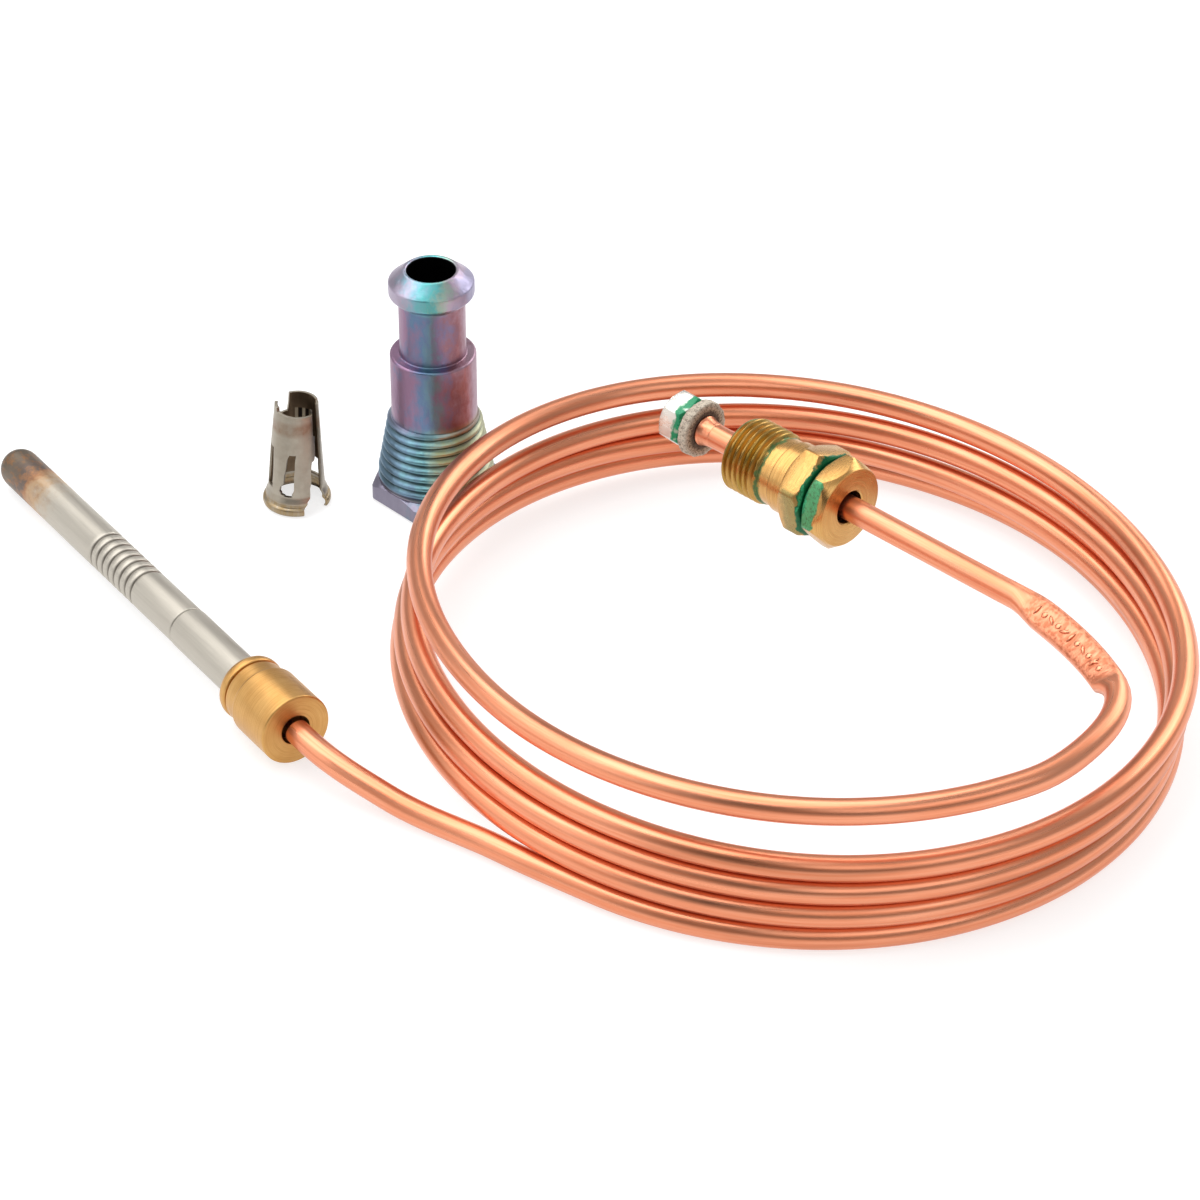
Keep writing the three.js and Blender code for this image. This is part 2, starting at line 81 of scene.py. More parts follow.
def shade(mesh, sharp_deg):
    """Faces outwards and smooth, with sharp edges where the surface turns by more than sharp_deg."""
    work = bmesh.new()
    work.from_mesh(mesh)
    bmesh.ops.recalc_face_normals(work, faces=work.faces)
    limit = math.radians(sharp_deg)
    for face in work.faces:
        face.smooth = True
    for edge in work.edges:
        edge.smooth = len(edge.link_faces) == 2 and edge.calc_face_angle() < limit
    work.to_mesh(mesh)
    work.free()


def set_grain(mesh, grain):
    """Store each point's place in the piece's own straight frame, for the piece's material."""
    field = mesh.attributes.get("grain") or mesh.attributes.new("grain", "FLOAT_VECTOR", "POINT")
    field.data.foreach_set("vector", np.asarray(grain, dtype=np.float32).ravel())


def piece(name, points, faces, grain, surface, body):
    mesh = bpy.data.meshes.new(name)
    mesh.from_pydata((np.asarray(points) * MM).tolist(), [], faces)
    shade(mesh, SHARP_DEG)
    set_grain(mesh, grain)
    mesh.materials.append(surface)
    made = bpy.data.objects.new(name, mesh)
    bpy.context.scene.collection.objects.link(made)
    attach(made, body)
    return made


def skin(rows, sides, loop):
    """Quads over a grid of rings, closed into a loop of rings or capped at both ends."""
    faces = []
    for i in range(rows if loop else rows - 1):
        a = i * sides
        b = ((i + 1) % rows) * sides
        for k in range(sides):
            n = (k + 1) % sides
            faces.append((a + k, a + n, b + n, b + k))
    if not loop:
        faces.append(tuple(range(sides)))
        faces.append(tuple(range((rows - 1) * sides, rows * sides)))
    return faces


class Place:
    """A straight frame in the row frame: first and second directions across, third along."""

    def __init__(self, origin, along, across):
        self.origin = np.asarray(origin, float)
        self.along = unit(along)
        self.across = unit(across)
        self.second = np.cross(self.along, self.across)

    def points(self, local):
        basis = np.stack([self.across, self.second, self.along])
        return self.origin + np.asarray(local).reshape(-1, 3) @ basis


def polar(name, place, angles, radius, height, surface, body, loop=True):
    """Piece from rings of points: radius and height are arrays of (rings, angles)."""
    radius = np.asarray(radius, float)
    height = np.asarray(height, float)
    local = np.stack([radius * np.cos(angles), radius * np.sin(angles), height], axis=-1)
    rows, sides = radius.shape
    faces = skin(rows, sides, loop)
    return piece(name, place.points(local), faces, local.reshape(-1, 3), surface, body)


def even_angles(sides=ROUND_SIDES):
    return np.arange(sides) * 2 * math.pi / sides


def filleted(profile, radius, loop=True):
    """The same outline with its corners rounded, as far as its edges allow."""
    steps = 4
    rounded = []
    count = len(profile)
    for i, corner in enumerate(profile):
        corner = np.asarray(corner, float)
        if not loop and i in (0, count - 1):
            rounded.append(corner)
            continue
        before = np.asarray(profile[i - 1], float) - corner
        after = np.asarray(profile[(i + 1) % count], float) - corner
        reach = min(radius, np.linalg.norm(before) * 0.45, np.linalg.norm(after) * 0.45)
        start = corner + unit(before) * reach
        end = corner + unit(after) * reach
        for k in range(steps + 1):
            s = k / steps
            rounded.append((1 - s) ** 2 * start + 2 * s * (1 - s) * corner + s**2 * end)
    return np.array(rounded)


def turned(name, place, profile, surface, body, fillet=0.12, loop=True, sides=ROUND_SIDES):
    """Solid of revolution. Each profile point is (radius, height)."""
    outline = filleted(profile, fillet, loop)
    angles = even_angles(sides)
    radius = np.repeat(outline[:, :1], sides, axis=1)
    height = np.repeat(outline[:, 1:], sides, axis=1)
    return polar(name, place, angles, radius, height, surface, body, loop)


# ---- Material helpers --------------------------------------------------------------------


class Nodes:
    """Short names for the shader nodes that the materials are made of."""

    def __init__(self, name):
        self.material = bpy.data.materials.new(name)
        self.material.use_nodes = True
        self.tree = self.material.node_tree
        self.shader = self.tree.nodes["Principled BSDF"]

    def put(self, socket, value):
        if isinstance(value, bpy.types.NodeSocket):
            self.tree.links.new(value, socket)
        else:
            socket.default_value = value

    def grain(self):
        node = self.tree.nodes.new("ShaderNodeAttribute")
        node.attribute_name = "grain"
        return node.outputs["Vector"]

    def math(self, operation, a, b=0.0, clamp=False):
        node = self.tree.nodes.new("ShaderNodeMath")
        node.operation = operation
        node.use_clamp = clamp
        self.put(node.inputs[0], a)
        self.put(node.inputs[1], b)
        return node.outputs[0]

    def scaled(self, vector, scale):
        node = self.tree.nodes.new("ShaderNodeVectorMath")
        node.operation = "MULTIPLY"
        self.put(node.inputs[0], vector)
        node.inputs[1].default_value = scale
        return node.outputs[0]

    def split(self, vector):
        node = self.tree.nodes.new("ShaderNodeSeparateXYZ")
        self.put(node.inputs[0], vector)
        return node.outputs

    def joined(self, x, y, z):
        node = self.tree.nodes.new("ShaderNodeCombineXYZ")
        for socket, value in zip(node.inputs, (x, y, z)):
            self.put(socket, value)
        return node.outputs[0]

    def from_axis(self, x, y):
        """Distance from the piece's own axis."""
        squares = self.math("ADD", self.math("MULTIPLY", x, x), self.math("MULTIPLY", y, y))
        return self.math("SQRT", squares)

    def noise(self, vector, scale, detail=3.0, rough=0.5):
        node = self.tree.nodes.new("ShaderNodeTexNoise")
        self.put(node.inputs["Vector"], vector)
        node.inputs["Scale"].default_value = scale
        node.inputs["Detail"].default_value = detail
        node.inputs["Roughness"].default_value = rough
        return node.outputs["Fac"]

    def ramp(self, factor, stops):
        """Colour or value by factor. Each stop is (place, value) with a value or three colours."""
        node = self.tree.nodes.new("ShaderNodeValToRGB")
        self.put(node.inputs[0], factor)
        elements = node.color_ramp.elements
        while len(elements) < len(stops):
            elements.new(0.5)
        for element, (place, value) in zip(elements, stops):
            colour = (value,) * 3 if isinstance(value, (int, float)) else value
            element.position = place
            element.color = (*colour, 1.0)
        return node.outputs[0]

    def mix(self, factor, a, b):
        node = self.tree.nodes.new("ShaderNodeMix")
        node.data_type = "RGBA"
        self.put(node.inputs[0], factor)
        for socket, value in ((node.inputs[6], a), (node.inputs[7], b)):
            self.put(socket, value if isinstance(value, bpy.types.NodeSocket) else (*value, 1.0))
        return node.outputs[2]

    def band(self, value, centre, half, soft):
        """1 within half of centre, falling to 0 over soft."""
        away = self.math("ABSOLUTE", self.math("SUBTRACT", value, centre))
        return self.math("DIVIDE", self.math("SUBTRACT", half + soft, away), soft, clamp=True)

    def bump(self, height, distance, strength=1.0):
        node = self.tree.nodes.new("ShaderNodeBump")
        node.inputs["Strength"].default_value = strength
        node.inputs["Distance"].default_value = distance
        self.put(node.inputs["Height"], height)
        self.put(self.shader.inputs["Normal"], node.outputs[0])

    def finish(self, colour, rough, metal=1.0):
        self.put(self.shader.inputs["Base Color"], colour)
        self.put(self.shader.inputs["Roughness"], rough)
        self.put(self.shader.inputs["Metallic"], metal)
        return self.material


def copper(name="copper", tarnish=0.45, stamped=None):
    """Bright drawn copper tube: fine streaks along it, warm blotches and a few brown smudges.

    stamped is the stretch of the tube, from and to, whose upper face the stamping has dulled.
    """
    n = Nodes(name)
    grain = n.grain()
    streak = n.noise(n.scaled(grain, (1.0, 1.0, 0.02)), 3.0, 4.0, 0.6)
    blotch = n.noise(n.scaled(grain, (0.5, 0.5, 0.12)), 0.8, 3.0)
    smudge = n.noise(n.scaled(grain, (0.35, 0.35, 0.035)), 1.1, 2.0)
    base = n.mix(blotch, (0.77, 0.27, 0.14), (0.83, 0.37, 0.225))
    lined = n.mix(n.ramp(streak, [(0.42, 0.0), (0.68, 0.55)]), base, (0.70, 0.20, 0.085))
    dark = n.ramp(smudge, [(0.56, 0.0), (0.70, tarnish)])
    colour = n.mix(dark, lined, (0.40, 0.13, 0.06))
    rough = n.ramp(streak, [(0.3, 0.25), (0.75, 0.42)])
    if not stamped:
        n.bump(streak, 0.00002, 0.5)
        return n.finish(colour, rough)
    start, end = stamped
    upward, along = n.split(grain)[1:]
    on_top = n.ramp(upward, [(0.45, 0.0), (0.85, 1.0)])
    pressed = n.math("MULTIPLY", on_top, n.band(along, (start + end) / 2, (end - start) / 2, 1.0))
    dent = n.noise(grain, 1.7, 2.0, 0.6)
    struck = n.mix(n.ramp(dent, [(0.40, 0.85), (0.56, 0.1)]), (0.83, 0.34, 0.20), (0.46, 0.13, 0.06))
    n.bump(n.math("ADD", n.math("MULTIPLY", streak, 0.12), n.math("MULTIPLY", dent, pressed)), 0.00015, 0.6)
    return n.finish(n.mix(n.math("MULTIPLY", pressed, 0.8), colour, struck),
                    n.math("ADD", rough, n.math("MULTIPLY", pressed, 0.12)))


def brass(name="brass", rings=9.0, smooth=0.30):
    """Turned brass: rings round the axis on its sides and ends."""
    n = Nodes(name)
    grain = n.grain()
    x, y, t = n.split(grain)
    radius = n.from_axis(x, y)
    ring = n.noise(n.joined(radius, t, n.math("MULTIPLY", x, 0.03)), rings, 4.0, 0.7)
    cloud = n.noise(grain, 0.45, 3.0)
    base = n.mix(cloud, (0.54, 0.275, 0.08), (0.68, 0.415, 0.155))
    colour = n.mix(n.ramp(ring, [(0.45, 0.0), (0.7, 0.6)]), base, (0.40, 0.18, 0.045))
    n.bump(ring, 0.00003, 0.6)
    return n, colour, n.ramp(ring, [(0.3, smooth), (0.75, smooth + 0.16)])


def plain_brass():
    n, colour, rough = brass()
    return n.finish(colour, rough)


GREEN = (0.004, 0.13, 0.045)
PALE_GREEN = (0.04, 0.36, 0.16)
# The lacquered places: two flats by their direction, and three by their distance along the axis.
BARREL_FLAT_DEG = 200
COLLAR_FLAT_DEG = 170
LACQUERED_GROOVE = 3.15
FIRST_THREAD = 10.25
LAST_THREAD = 15.6


def lacquered_brass():
    """The connector's brass with green locking lacquer in the groove, on one flat and in the thread."""
    n, colour, rough = brass("brass_connector", 7.0, 0.22)
    x, y, t = n.split(n.grain())
    patchy = n.noise(n.grain(), 0.9, 4.0, 0.6)
    fine = n.noise(n.grain(), 3.2, 3.0, 0.6)
    wobble = n.math("MULTIPLY", n.math("SUBTRACT", patchy, 0.5), 1.6)
    place = n.math("ADD", t, wobble)
    groove = n.band(place, LACQUERED_GROOVE, 0.40, 0.22)

    def out_towards(turn_deg):
        turn = math.radians(turn_deg)
        return n.math("ADD", n.math("MULTIPLY", x, math.cos(turn)), n.math("MULTIPLY", y, math.sin(turn)))

    on_flat = n.math("MULTIPLY", n.band(out_towards(BARREL_FLAT_DEG), NUT_FLATS / 2, 0.18, 0.08),
                     n.band(n.math("ADD", t, n.math("MULTIPLY", wobble, 0.5)), 2.2, 1.25, 0.15))
    on_collar = n.math("MULTIPLY", n.band(out_towards(COLLAR_FLAT_DEG), NUT_FLATS / 2, 0.3, 0.3),
                       n.band(place, 4.4, 0.9, 0.8))
    outside = n.math("GREATER_THAN", n.from_axis(x, y), 3.9)
    last_thread = n.math("MULTIPLY", n.band(t, LAST_THREAD, 0.22, 0.15), outside)
    in_thread = n.math("ADD", n.band(place, FIRST_THREAD, 0.12, 0.25), last_thread)
    mask = n.math("ADD", n.math("ADD", groove, n.math("MULTIPLY", on_flat, 0.9)),
                  n.math("ADD", n.math("MULTIPLY", on_collar, 0.45),
                         n.math("MULTIPLY", in_thread, 0.8)), clamp=True)
    threads = n.band(t, 12.9, 2.9, 0.2)
    olive = n.noise(n.joined(0.0, n.math("MULTIPLY", y, 0.15), t), 1.3, 2.0)
    aged = n.mix(n.math("MULTIPLY", threads, n.ramp(olive, [(0.35, 0.25), (0.65, 0.80)])),
                 colour, (0.30, 0.20, 0.035))
    tone = n.math("ADD", n.math("MULTIPLY", on_flat, 0.5), n.math("MULTIPLY", patchy, 0.4))
    glaze = n.mix(n.ramp(tone, [(0.2, 0.0), (0.7, 1.0)]), GREEN, PALE_GREEN)
    glaze = n.mix(n.ramp(fine, [(0.5, 0.0), (0.62, 0.7)]), glaze, (0.004, 0.07, 0.03))
    n.shader.inputs["Specular IOR Level"].default_value = 0.25
    metal = n.math("SUBTRACT", 1.0, n.math("MULTIPLY", mask, 0.75))
    return n.finish(n.mix(mask, aged, glaze), rough, metal)


def tinned():
    """Solder-tinned metal, a little uneven, with green lacquer next to the washer."""
    n = Nodes("tinned")
    grain = n.grain()
    uneven = n.noise(grain, 0.8, 3.0)
    t = n.split(grain)[2]
    edge = n.math("ADD", t, n.math("MULTIPLY", n.math("SUBTRACT", n.noise(grain, 0.9, 3.0), 0.5), 1.6))
    dab = n.math("MULTIPLY", n.band(edge, 23.5, 0.75, 0.25),
                 n.ramp(n.noise(grain, 0.55, 2.0), [(0.34, 0.1), (0.46, 1.0)]))
    colour = n.mix(uneven, (0.66, 0.63, 0.57), (0.86, 0.84, 0.79))
    n.bump(uneven, 0.00012, 0.4)
    metal = n.math("SUBTRACT", 1.0, n.math("MULTIPLY", dab, 0.8))
    return n.finish(n.mix(dab, colour, (0.006, 0.24, 0.10)),
                    n.ramp(uneven, [(0.3, 0.22), (0.8, 0.42)]), metal)


def stainless(length):
    """Satin stainless tube, heat tinted over the last few millimetres before its tip, with painted shade in
    its rolled grooves and at its seam.
    """
    n = Nodes("stainless")
    grain = n.grain()
    x, y, t = n.split(grain)
    radius = n.from_axis(x, y)
    satin = n.noise(n.scaled(grain, (1.0, 1.0, 0.03)), 4.5, 4.0, 0.65)
    mottle = n.noise(grain, 0.55, 5.0, 0.65)
    rust = n.noise(n.scaled(grain, (1.0, 1.0, 0.6)), 1.6, 4.0, 0.6)
    steel = n.mix(satin, (0.40, 0.37, 0.32), (0.60, 0.56, 0.49))
    from_tip = n.math("SUBTRACT", length, t)
    shifted = n.math("ADD", from_tip, n.math("MULTIPLY", n.math("SUBTRACT", mottle, 0.5), 8.0))
    # Painted shade in the rolled grooves and the seam: darker where the tube is narrower than its wall,
    # short of the tip's dome.
    painted_groove_and_seam_shade = n.math("MULTIPLY", n.ramp(n.math("SUBTRACT", radius, 2.0), [(0.22, 0.60), (0.33, 0.0)]),
                    n.math("LESS_THAN", t, length - 0.5))
    reach = n.math("DIVIDE", n.math("ADD", shifted, 2.4), 16.0, clamp=True)
    tint = n.ramp(reach, [
        (0.0, (0.13, 0.105, 0.075)), (0.25, (0.19, 0.15, 0.115)), (0.40, (0.15, 0.115, 0.10)),
        (0.47, (0.38, 0.16, 0.06)), (0.58, (0.50, 0.29, 0.13)), (0.80, (0.52, 0.46, 0.37)),
    ])
    spotted = n.mix(n.ramp(rust, [(0.48, 0.0), (0.66, 0.65)]), tint, (0.36, 0.17, 0.07))
    amount = n.ramp(reach, [(0.35, 1.0), (0.62, 0.68), (0.95, 0.0)])
    rough = n.ramp(satin, [(0.3, 0.40), (0.75, 0.54)])
    n.bump(satin, 0.00002, 0.5)
    coloured = n.mix(painted_groove_and_seam_shade, n.mix(amount, steel, spotted), (0.10, 0.085, 0.07))
    return n.finish(coloured, rough)


def fibre():
    """Speckled fibre washer, with a painted highlight pale all round its rim and painted shade dark round
    its hole.
    """
    n = Nodes("fibre")
    grain = n.grain()
    x, y = n.split(grain)[:2]
    radius = n.from_axis(x, y)
    speck = n.noise(grain, 2.6, 6.0, 0.9)
    cloud = n.noise(grain, 0.9, 2.0)
    colour = n.mix(n.ramp(speck, [(0.42, 0.0), (0.54, 1.0)]), (0.06, 0.028, 0.016), (0.66, 0.48, 0.33))
    toned = n.mix(n.math("MULTIPLY", cloud, 0.25), colour, (0.36, 0.19, 0.11))
    # Painted highlight: the rim is paler all round.
    pale = n.mix(n.ramp(speck, [(0.40, 0.0), (0.52, 1.0)]), (0.27, 0.20, 0.14), (0.78, 0.70, 0.58))
    rim = n.mix(n.ramp(n.math("SUBTRACT", radius, 2.2), [(0.45, 0.0), (0.95, 0.85)]), toned, pale)
    # Painted shade round the hole, where the tube passes through.
    painted_hole_shade = n.ramp(n.math("SUBTRACT", radius, 1.8), [(0.35, 0.8), (0.75, 0.0)])
    n.bump(speck, 0.00025, 0.9)
    return n.finish(n.mix(painted_hole_shade, rim, (0.05, 0.025, 0.015)), 0.95, 0.0)


def chromate():
    """Iridescent zinc chromate: blue-grey head, teal thread, dusky violet on the plain parts, with painted
    shade in the thread's valleys and inside the bore.
    """
    n = Nodes("chromate")
    grain = n.grain()
    x, y, t = n.split(grain)
    radius = n.from_axis(x, y)
    cloud = n.noise(n.scaled(grain, (1.0, 1.0, 0.6)), 0.34, 4.0, 0.6)
    fine = n.noise(n.scaled(grain, (1.0, 1.0, 0.7)), 1.5, 4.0, 0.6)
    across = n.math("ADD", n.math("MULTIPLY", x, 0.1), n.math("MULTIPLY", cloud, 0.70))
    film = n.math("ADD", across, n.math("MULTIPLY", n.math("SUBTRACT", fine, 0.2), 0.30))
    violet = n.ramp(film, [
        (0.10, (0.28, 0.17, 0.26)), (0.30, (0.13, 0.20, 0.33)), (0.42, (0.14, 0.25, 0.32)),
        (0.54, (0.20, 0.18, 0.30)), (0.70, (0.29, 0.155, 0.19)), (0.84, (0.36, 0.24, 0.30)),
    ])
    teal = n.ramp(film, [
        (0.12, (0.15, 0.24, 0.33)), (0.30, (0.17, 0.36, 0.40)), (0.45, (0.30, 0.46, 0.42)),
        (0.62, (0.38, 0.42, 0.24)), (0.85, (0.38, 0.38, 0.26)),
    ])
    blue_grey = n.ramp(film, [
        (0.10, (0.38, 0.33, 0.42)), (0.28, (0.22, 0.38, 0.46)), (0.44, (0.12, 0.44, 0.45)),
        (0.58, (0.33, 0.44, 0.38)), (0.72, (0.42, 0.33, 0.42)), (0.88, (0.32, 0.30, 0.42)),
    ])
    up = n.math("DIVIDE", t, ADAPTER_HEIGHT)
    low = n.ramp(up, [(0.0, 0.0), (0.078, 0.05), (0.10, 1.0), (0.34, 1.0), (0.39, 0.0)])
    ends = n.ramp(up, [(0.0, 1.0), (0.078, 1.0), (0.10, 0.0), (0.86, 0.0), (0.90, 1.0)])
    streak = n.noise(n.joined(x, y, n.math("MULTIPLY", t, 0.2)), 1.6, 3.0)
    colour = n.mix(ends, n.mix(low, violet, teal), blue_grey)
    # Painted shade in the thread's valleys: darker where the surface lies below the crest.
    slope = (TAPER_WIDE - TAPER_NARROW) / (TAPER_TOP - FLANGE_HEIGHT)
    crest = n.math("SUBTRACT", TAPER_WIDE + slope * FLANGE_HEIGHT, n.math("MULTIPLY", t, slope))
    painted_valley_shade = n.ramp(n.math("SUBTRACT", crest, radius), [(0.14, 0.0), (0.40, 0.75)])
    in_thread = n.band(t, 6.6, 4.1, 0.1)
    colour = n.mix(n.math("MULTIPLY", painted_valley_shade, in_thread), colour, (0.05, 0.085, 0.08))
    flange = n.math("LESS_THAN", t, FLANGE_HEIGHT + 0.01)
    colour = n.mix(n.math("MULTIPLY", flange, 0.45), colour, (0.07, 0.09, 0.13))
    # Painted shade: the bore is near black inside.
    painted_bore_shade = n.math("LESS_THAN", radius, 2.86)
    n.bump(fine, 0.00008, 0.5)
    return n.finish(n.mix(painted_bore_shade, colour, (0.012, 0.012, 0.014)),
                    n.ramp(streak, [(0.3, 0.32), (0.8, 0.50)]))


def spring_steel():
    """Nickel-plated spring sheet: warm grey outside, with painted shade on its inner face, brown and
    darker, and painted dark and light stripes high on its back.
    """
    n = Nodes("spring_steel")
    grain = n.grain()
    x, y, t = n.split(grain)
    brushed = n.noise(n.scaled(grain, (1.0, 1.0, 0.15)), 2.5, 3.0, 0.6)
    cloud = n.noise(grain, 0.6, 4.0, 0.6)
    outside = n.mix(cloud, (0.27, 0.235, 0.19), (0.45, 0.41, 0.34))
    # Painted shade: the inner face is brown and darker than the outside.
    inside = n.mix(cloud, (0.085, 0.055, 0.035), (0.20, 0.145, 0.09))
    radius = n.from_axis(x, y)
    wall = n.math("ADD", radius, n.math("MULTIPLY", t, 0.0775))
    within = n.math("MULTIPLY", n.math("LESS_THAN", wall, 3.28), n.math("GREATER_THAN", t, 1.9))
    gold = n.math("MULTIPLY", n.band(t, 0.8, 0.5, 0.4), n.ramp(brushed, [(0.35, 0.25), (0.6, 0.8)]))
    # Painted shade and highlight: dark and light vertical stripes high on the back, over the painted shade
    # of the inner face.
    behind = n.math("MULTIPLY", n.math("GREATER_THAN", y, 1.0), n.band(t, 10.2, 0.9, 0.2))
    painted_dark_stripes = n.math("ADD", n.band(x, 0.32, 0.17, 0.1), n.band(x, 1.14, 0.17, 0.1))
    painted_light_stripes = n.math("ADD", n.band(x, 0.73, 0.12, 0.1),
                  n.math("ADD", n.band(x, -0.12, 0.12, 0.1), n.band(x, 1.5, 0.1, 0.1)))
    pressed = n.mix(n.math("MULTIPLY", painted_dark_stripes, behind), n.mix(within, outside, inside),
                    (0.018, 0.013, 0.010))
    pressed = n.mix(n.math("MULTIPLY", painted_light_stripes, behind), pressed, (0.40, 0.34, 0.25))
    # A brownish band round the front, just below the top.
    front_brown_band = n.math("MULTIPLY", n.band(t, 11.1, 0.45, 0.6), n.ramp(cloud, [(0.40, 0.15), (0.60, 0.75)]))
    front_brown_band = n.math("MULTIPLY", front_brown_band, n.math("LESS_THAN", y, 0.0))
    colour = n.mix(gold, n.mix(front_brown_band, pressed, (0.24, 0.15, 0.10)), (0.34, 0.23, 0.10))
    n.bump(brushed, 0.00003, 0.5)
    return n.finish(colour, n.ramp(brushed, [(0.3, 0.34), (0.8, 0.52)]))


def ceramic():
    n = Nodes("ceramic")
    spot = n.noise(n.grain(), 1.5, 4.0)
    return n.finish(n.mix(spot, (0.66, 0.62, 0.52), (0.84, 0.80, 0.70)), 0.8, 0.0)


def paper_floor():
    n = Nodes("floor")
    texture = n.tree.nodes.new("ShaderNodeTexCoord")
    mottle = n.noise(texture.outputs["Object"], 60.0, 2.0)
    n.shader.inputs["Emission Color"].default_value = (1.0, 1.0, 1.0, 1.0)
    n.shader.inputs["Emission Strength"].default_value = 0.70
    return n.finish(n.mix(mottle, (0.38, 0.38, 0.38), (0.42, 0.42, 0.42)), 0.85, 0.0)


# ---- Lead --------------------------------------------------------------------------------

LEAD_RADIUS = 1.4
LEAD_SIDES = 28
LEAD_STEP = 1.2
COIL_RADIUS = 42.76
COIL_OVALITY = 2.25
COIL_LONG_AXIS_DEG = 132.6
# Each row: turn angle in degrees, then the centre that the turn drifts about.
COIL_CENTRES = [
    (200, 63.1, -19.9), (380, 59.2, -11.5), (560, 62.2, -17.6), (740, 58.7, -14.8),
    (920, 62.8, -17.4), (1100, 59.3, -14.6), (1280, 63.7, -17.4), (1460, 59.9, -14.1),
    (1640, 64.4, -15.5), (1760, 62.3, -15.6),
]
# Each row: turn angle in degrees, then the height of the lead's middle.
COIL_HEIGHTS = [
    (232, 1.4), (430, 1.4), (535, 3.4), (590, 4.2), (740, 4.2), (780, 4.5), (860, 5.5),
    (920, 6.5), (950, 7.0), (1080, 7.0), (1140, 7.7), (1220, 8.3), (1290, 9.6), (1320, 9.8),
    (1360, 9.8), (1440, 10.1), (1500, 10.6), (1530, 11.2), (1570, 12.6), (1620, 13.7),
    (1660, 14.6), (1710, 16.5), (1750, 18.2),
]
COIL_START_DEG = 236
COIL_END_DEG = 1732
COIL_STEP_DEG = 4
# Steps on either side that the centres and the heights are smoothed over.
CENTRE_EASE = 28
HEIGHT_EASE = 18
# The lead's middle between the sleeve and the coil, and between the coil and its straight end.
LEAD_IN = [
    (8.3, -28.95, 4.31), (9.0, -29.9, 4.2), (10.1, -31.3, 4.1), (11.8, -33.1, 3.8),
    (14.0, -34.8, 3.2), (16.9, -36.8, 2.5), (19.6, -38.6, 1.9), (22.4, -40.35, 1.55),
    (25.4, -42.2, 1.42), (28.9, -44.5, 1.4), (32.2, -46.95, 1.4),
]
LEAD_BEND = [
    (85.2, -54.2, 17.75), (89.6, -50.1, 18.05), (92.7, -45.2, 18.2), (93.6, -41.0, 18.2),
    (92.66, -37.33, 18.2), (90.97, -33.28, 18.2), (88.73, -29.18, 18.2), (86.39, -25.74, 18.2),
]
# The straight end runs along the connector's axis, by distance from the back nut's end face.
CONNECTOR_HEIGHT = 18.2
NUT_FACE = np.array([67.8, -7.1, CONNECTOR_HEIGHT])
CONNECTOR_AXIS = unit([-1, 1, 0])
STRAIGHT_START = -21.5
STRAIGHT_POINTS = 12
LEAD_END = 20.45


def eased(rows, column, at, window):
    """The rows' column by angle, smoothed over a window of samples."""
    wide = np.arange(at[0] - window, at[-1] + window + 1)
    values = np.interp(wide, [row[0] for row in rows], [row[column] for row in rows])
    weights = np.hanning(2 * window + 1)
    smooth = np.convolve(values, weights / weights.sum(), "valid")
    return np.interp(at, wide[window:-window], smooth)


def coil_points():
    turn = np.arange(COIL_START_DEG, COIL_END_DEG + 1, COIL_STEP_DEG)
    centre_x = eased(COIL_CENTRES, 1, turn, CENTRE_EASE)
    centre_y = eased(COIL_CENTRES, 2, turn, CENTRE_EASE)
    height = eased(COIL_HEIGHTS, 1, turn, HEIGHT_EASE)
    angle = np.radians(turn)
    oval = np.cos(2 * (angle - math.radians(COIL_LONG_AXIS_DEG)))
    radius = COIL_RADIUS + COIL_OVALITY * oval
    return np.stack(
        [centre_x + radius * np.cos(angle), centre_y + radius * np.sin(angle), height], axis=1
    )


def blend(a, b, first, last, t):
    """a when t is first, b when it is last, and on a straight line through them otherwise."""
    return ((last - t) * a + (t - first) * b) / (last - first)


def spline_through(points):
    """Centripetal Catmull-Rom curve through the points, sampled finely."""
    points = np.asarray(points, float)
    points = np.vstack([2 * points[0] - points[1], points, 2 * points[-1] - points[-2]])
    steps = 12
    out = []
    for i in range(1, len(points) - 2):
        p = points[i - 1:i + 3]
        knots = np.concatenate([[0], np.cumsum(np.sqrt(np.linalg.norm(np.diff(p, axis=0), axis=1)))])
        for t in np.linspace(knots[1], knots[2], steps, endpoint=False):
            lines = [blend(p[j], p[j + 1], knots[j], knots[j + 1], t) for j in range(3)]
            arcs = [blend(lines[j], lines[j + 1], knots[j], knots[j + 2], t) for j in range(2)]
            out.append(blend(*arcs, knots[1], knots[2], t))
    out.append(points[-2])
    return np.array(out)


def resampled(points, step):
    along = np.concatenate([[0], np.cumsum(np.linalg.norm(np.diff(points, axis=0), axis=1))])
    at = np.linspace(0, along[-1], int(round(along[-1] / step)) + 1)
    return np.stack([np.interp(at, along, points[:, k]) for k in range(3)], axis=1), at


def lead_line():
    places = np.linspace(STRAIGHT_START, LEAD_END, STRAIGHT_POINTS)
    straight = [NUT_FACE + CONNECTOR_AXIS * t for t in places]
    route = [*LEAD_IN, *coil_points(), *LEAD_BEND, *straight]
    return resampled(spline_through(route), LEAD_STEP)


# The stamped stretch, by its distance from the nut's end face along the lead.
STAMP_START = 23.2
STAMP_END = 42.2
STAMP_EASE_IN = 5.0
STAMP_EASE_OUT = 0.7
STAMP_WIDTH = 1.26
STAMP_THICKNESS = 0.66
STAMP_CENTRE = -0.32
STAMP_TILT_DEG = 30
STAMP_SQUARENESS = 0.45
# The dulled face starts and ends inside the flattened stretch by these.
DULL_FROM_START = 0.8
DULL_FROM_END = 1.6
MARK_FIRST = 27.4
MARK_PITCH = 1.15
MARK_COUNT = 12
MARK_RISE = 0.2
MARK_SIDES = 12
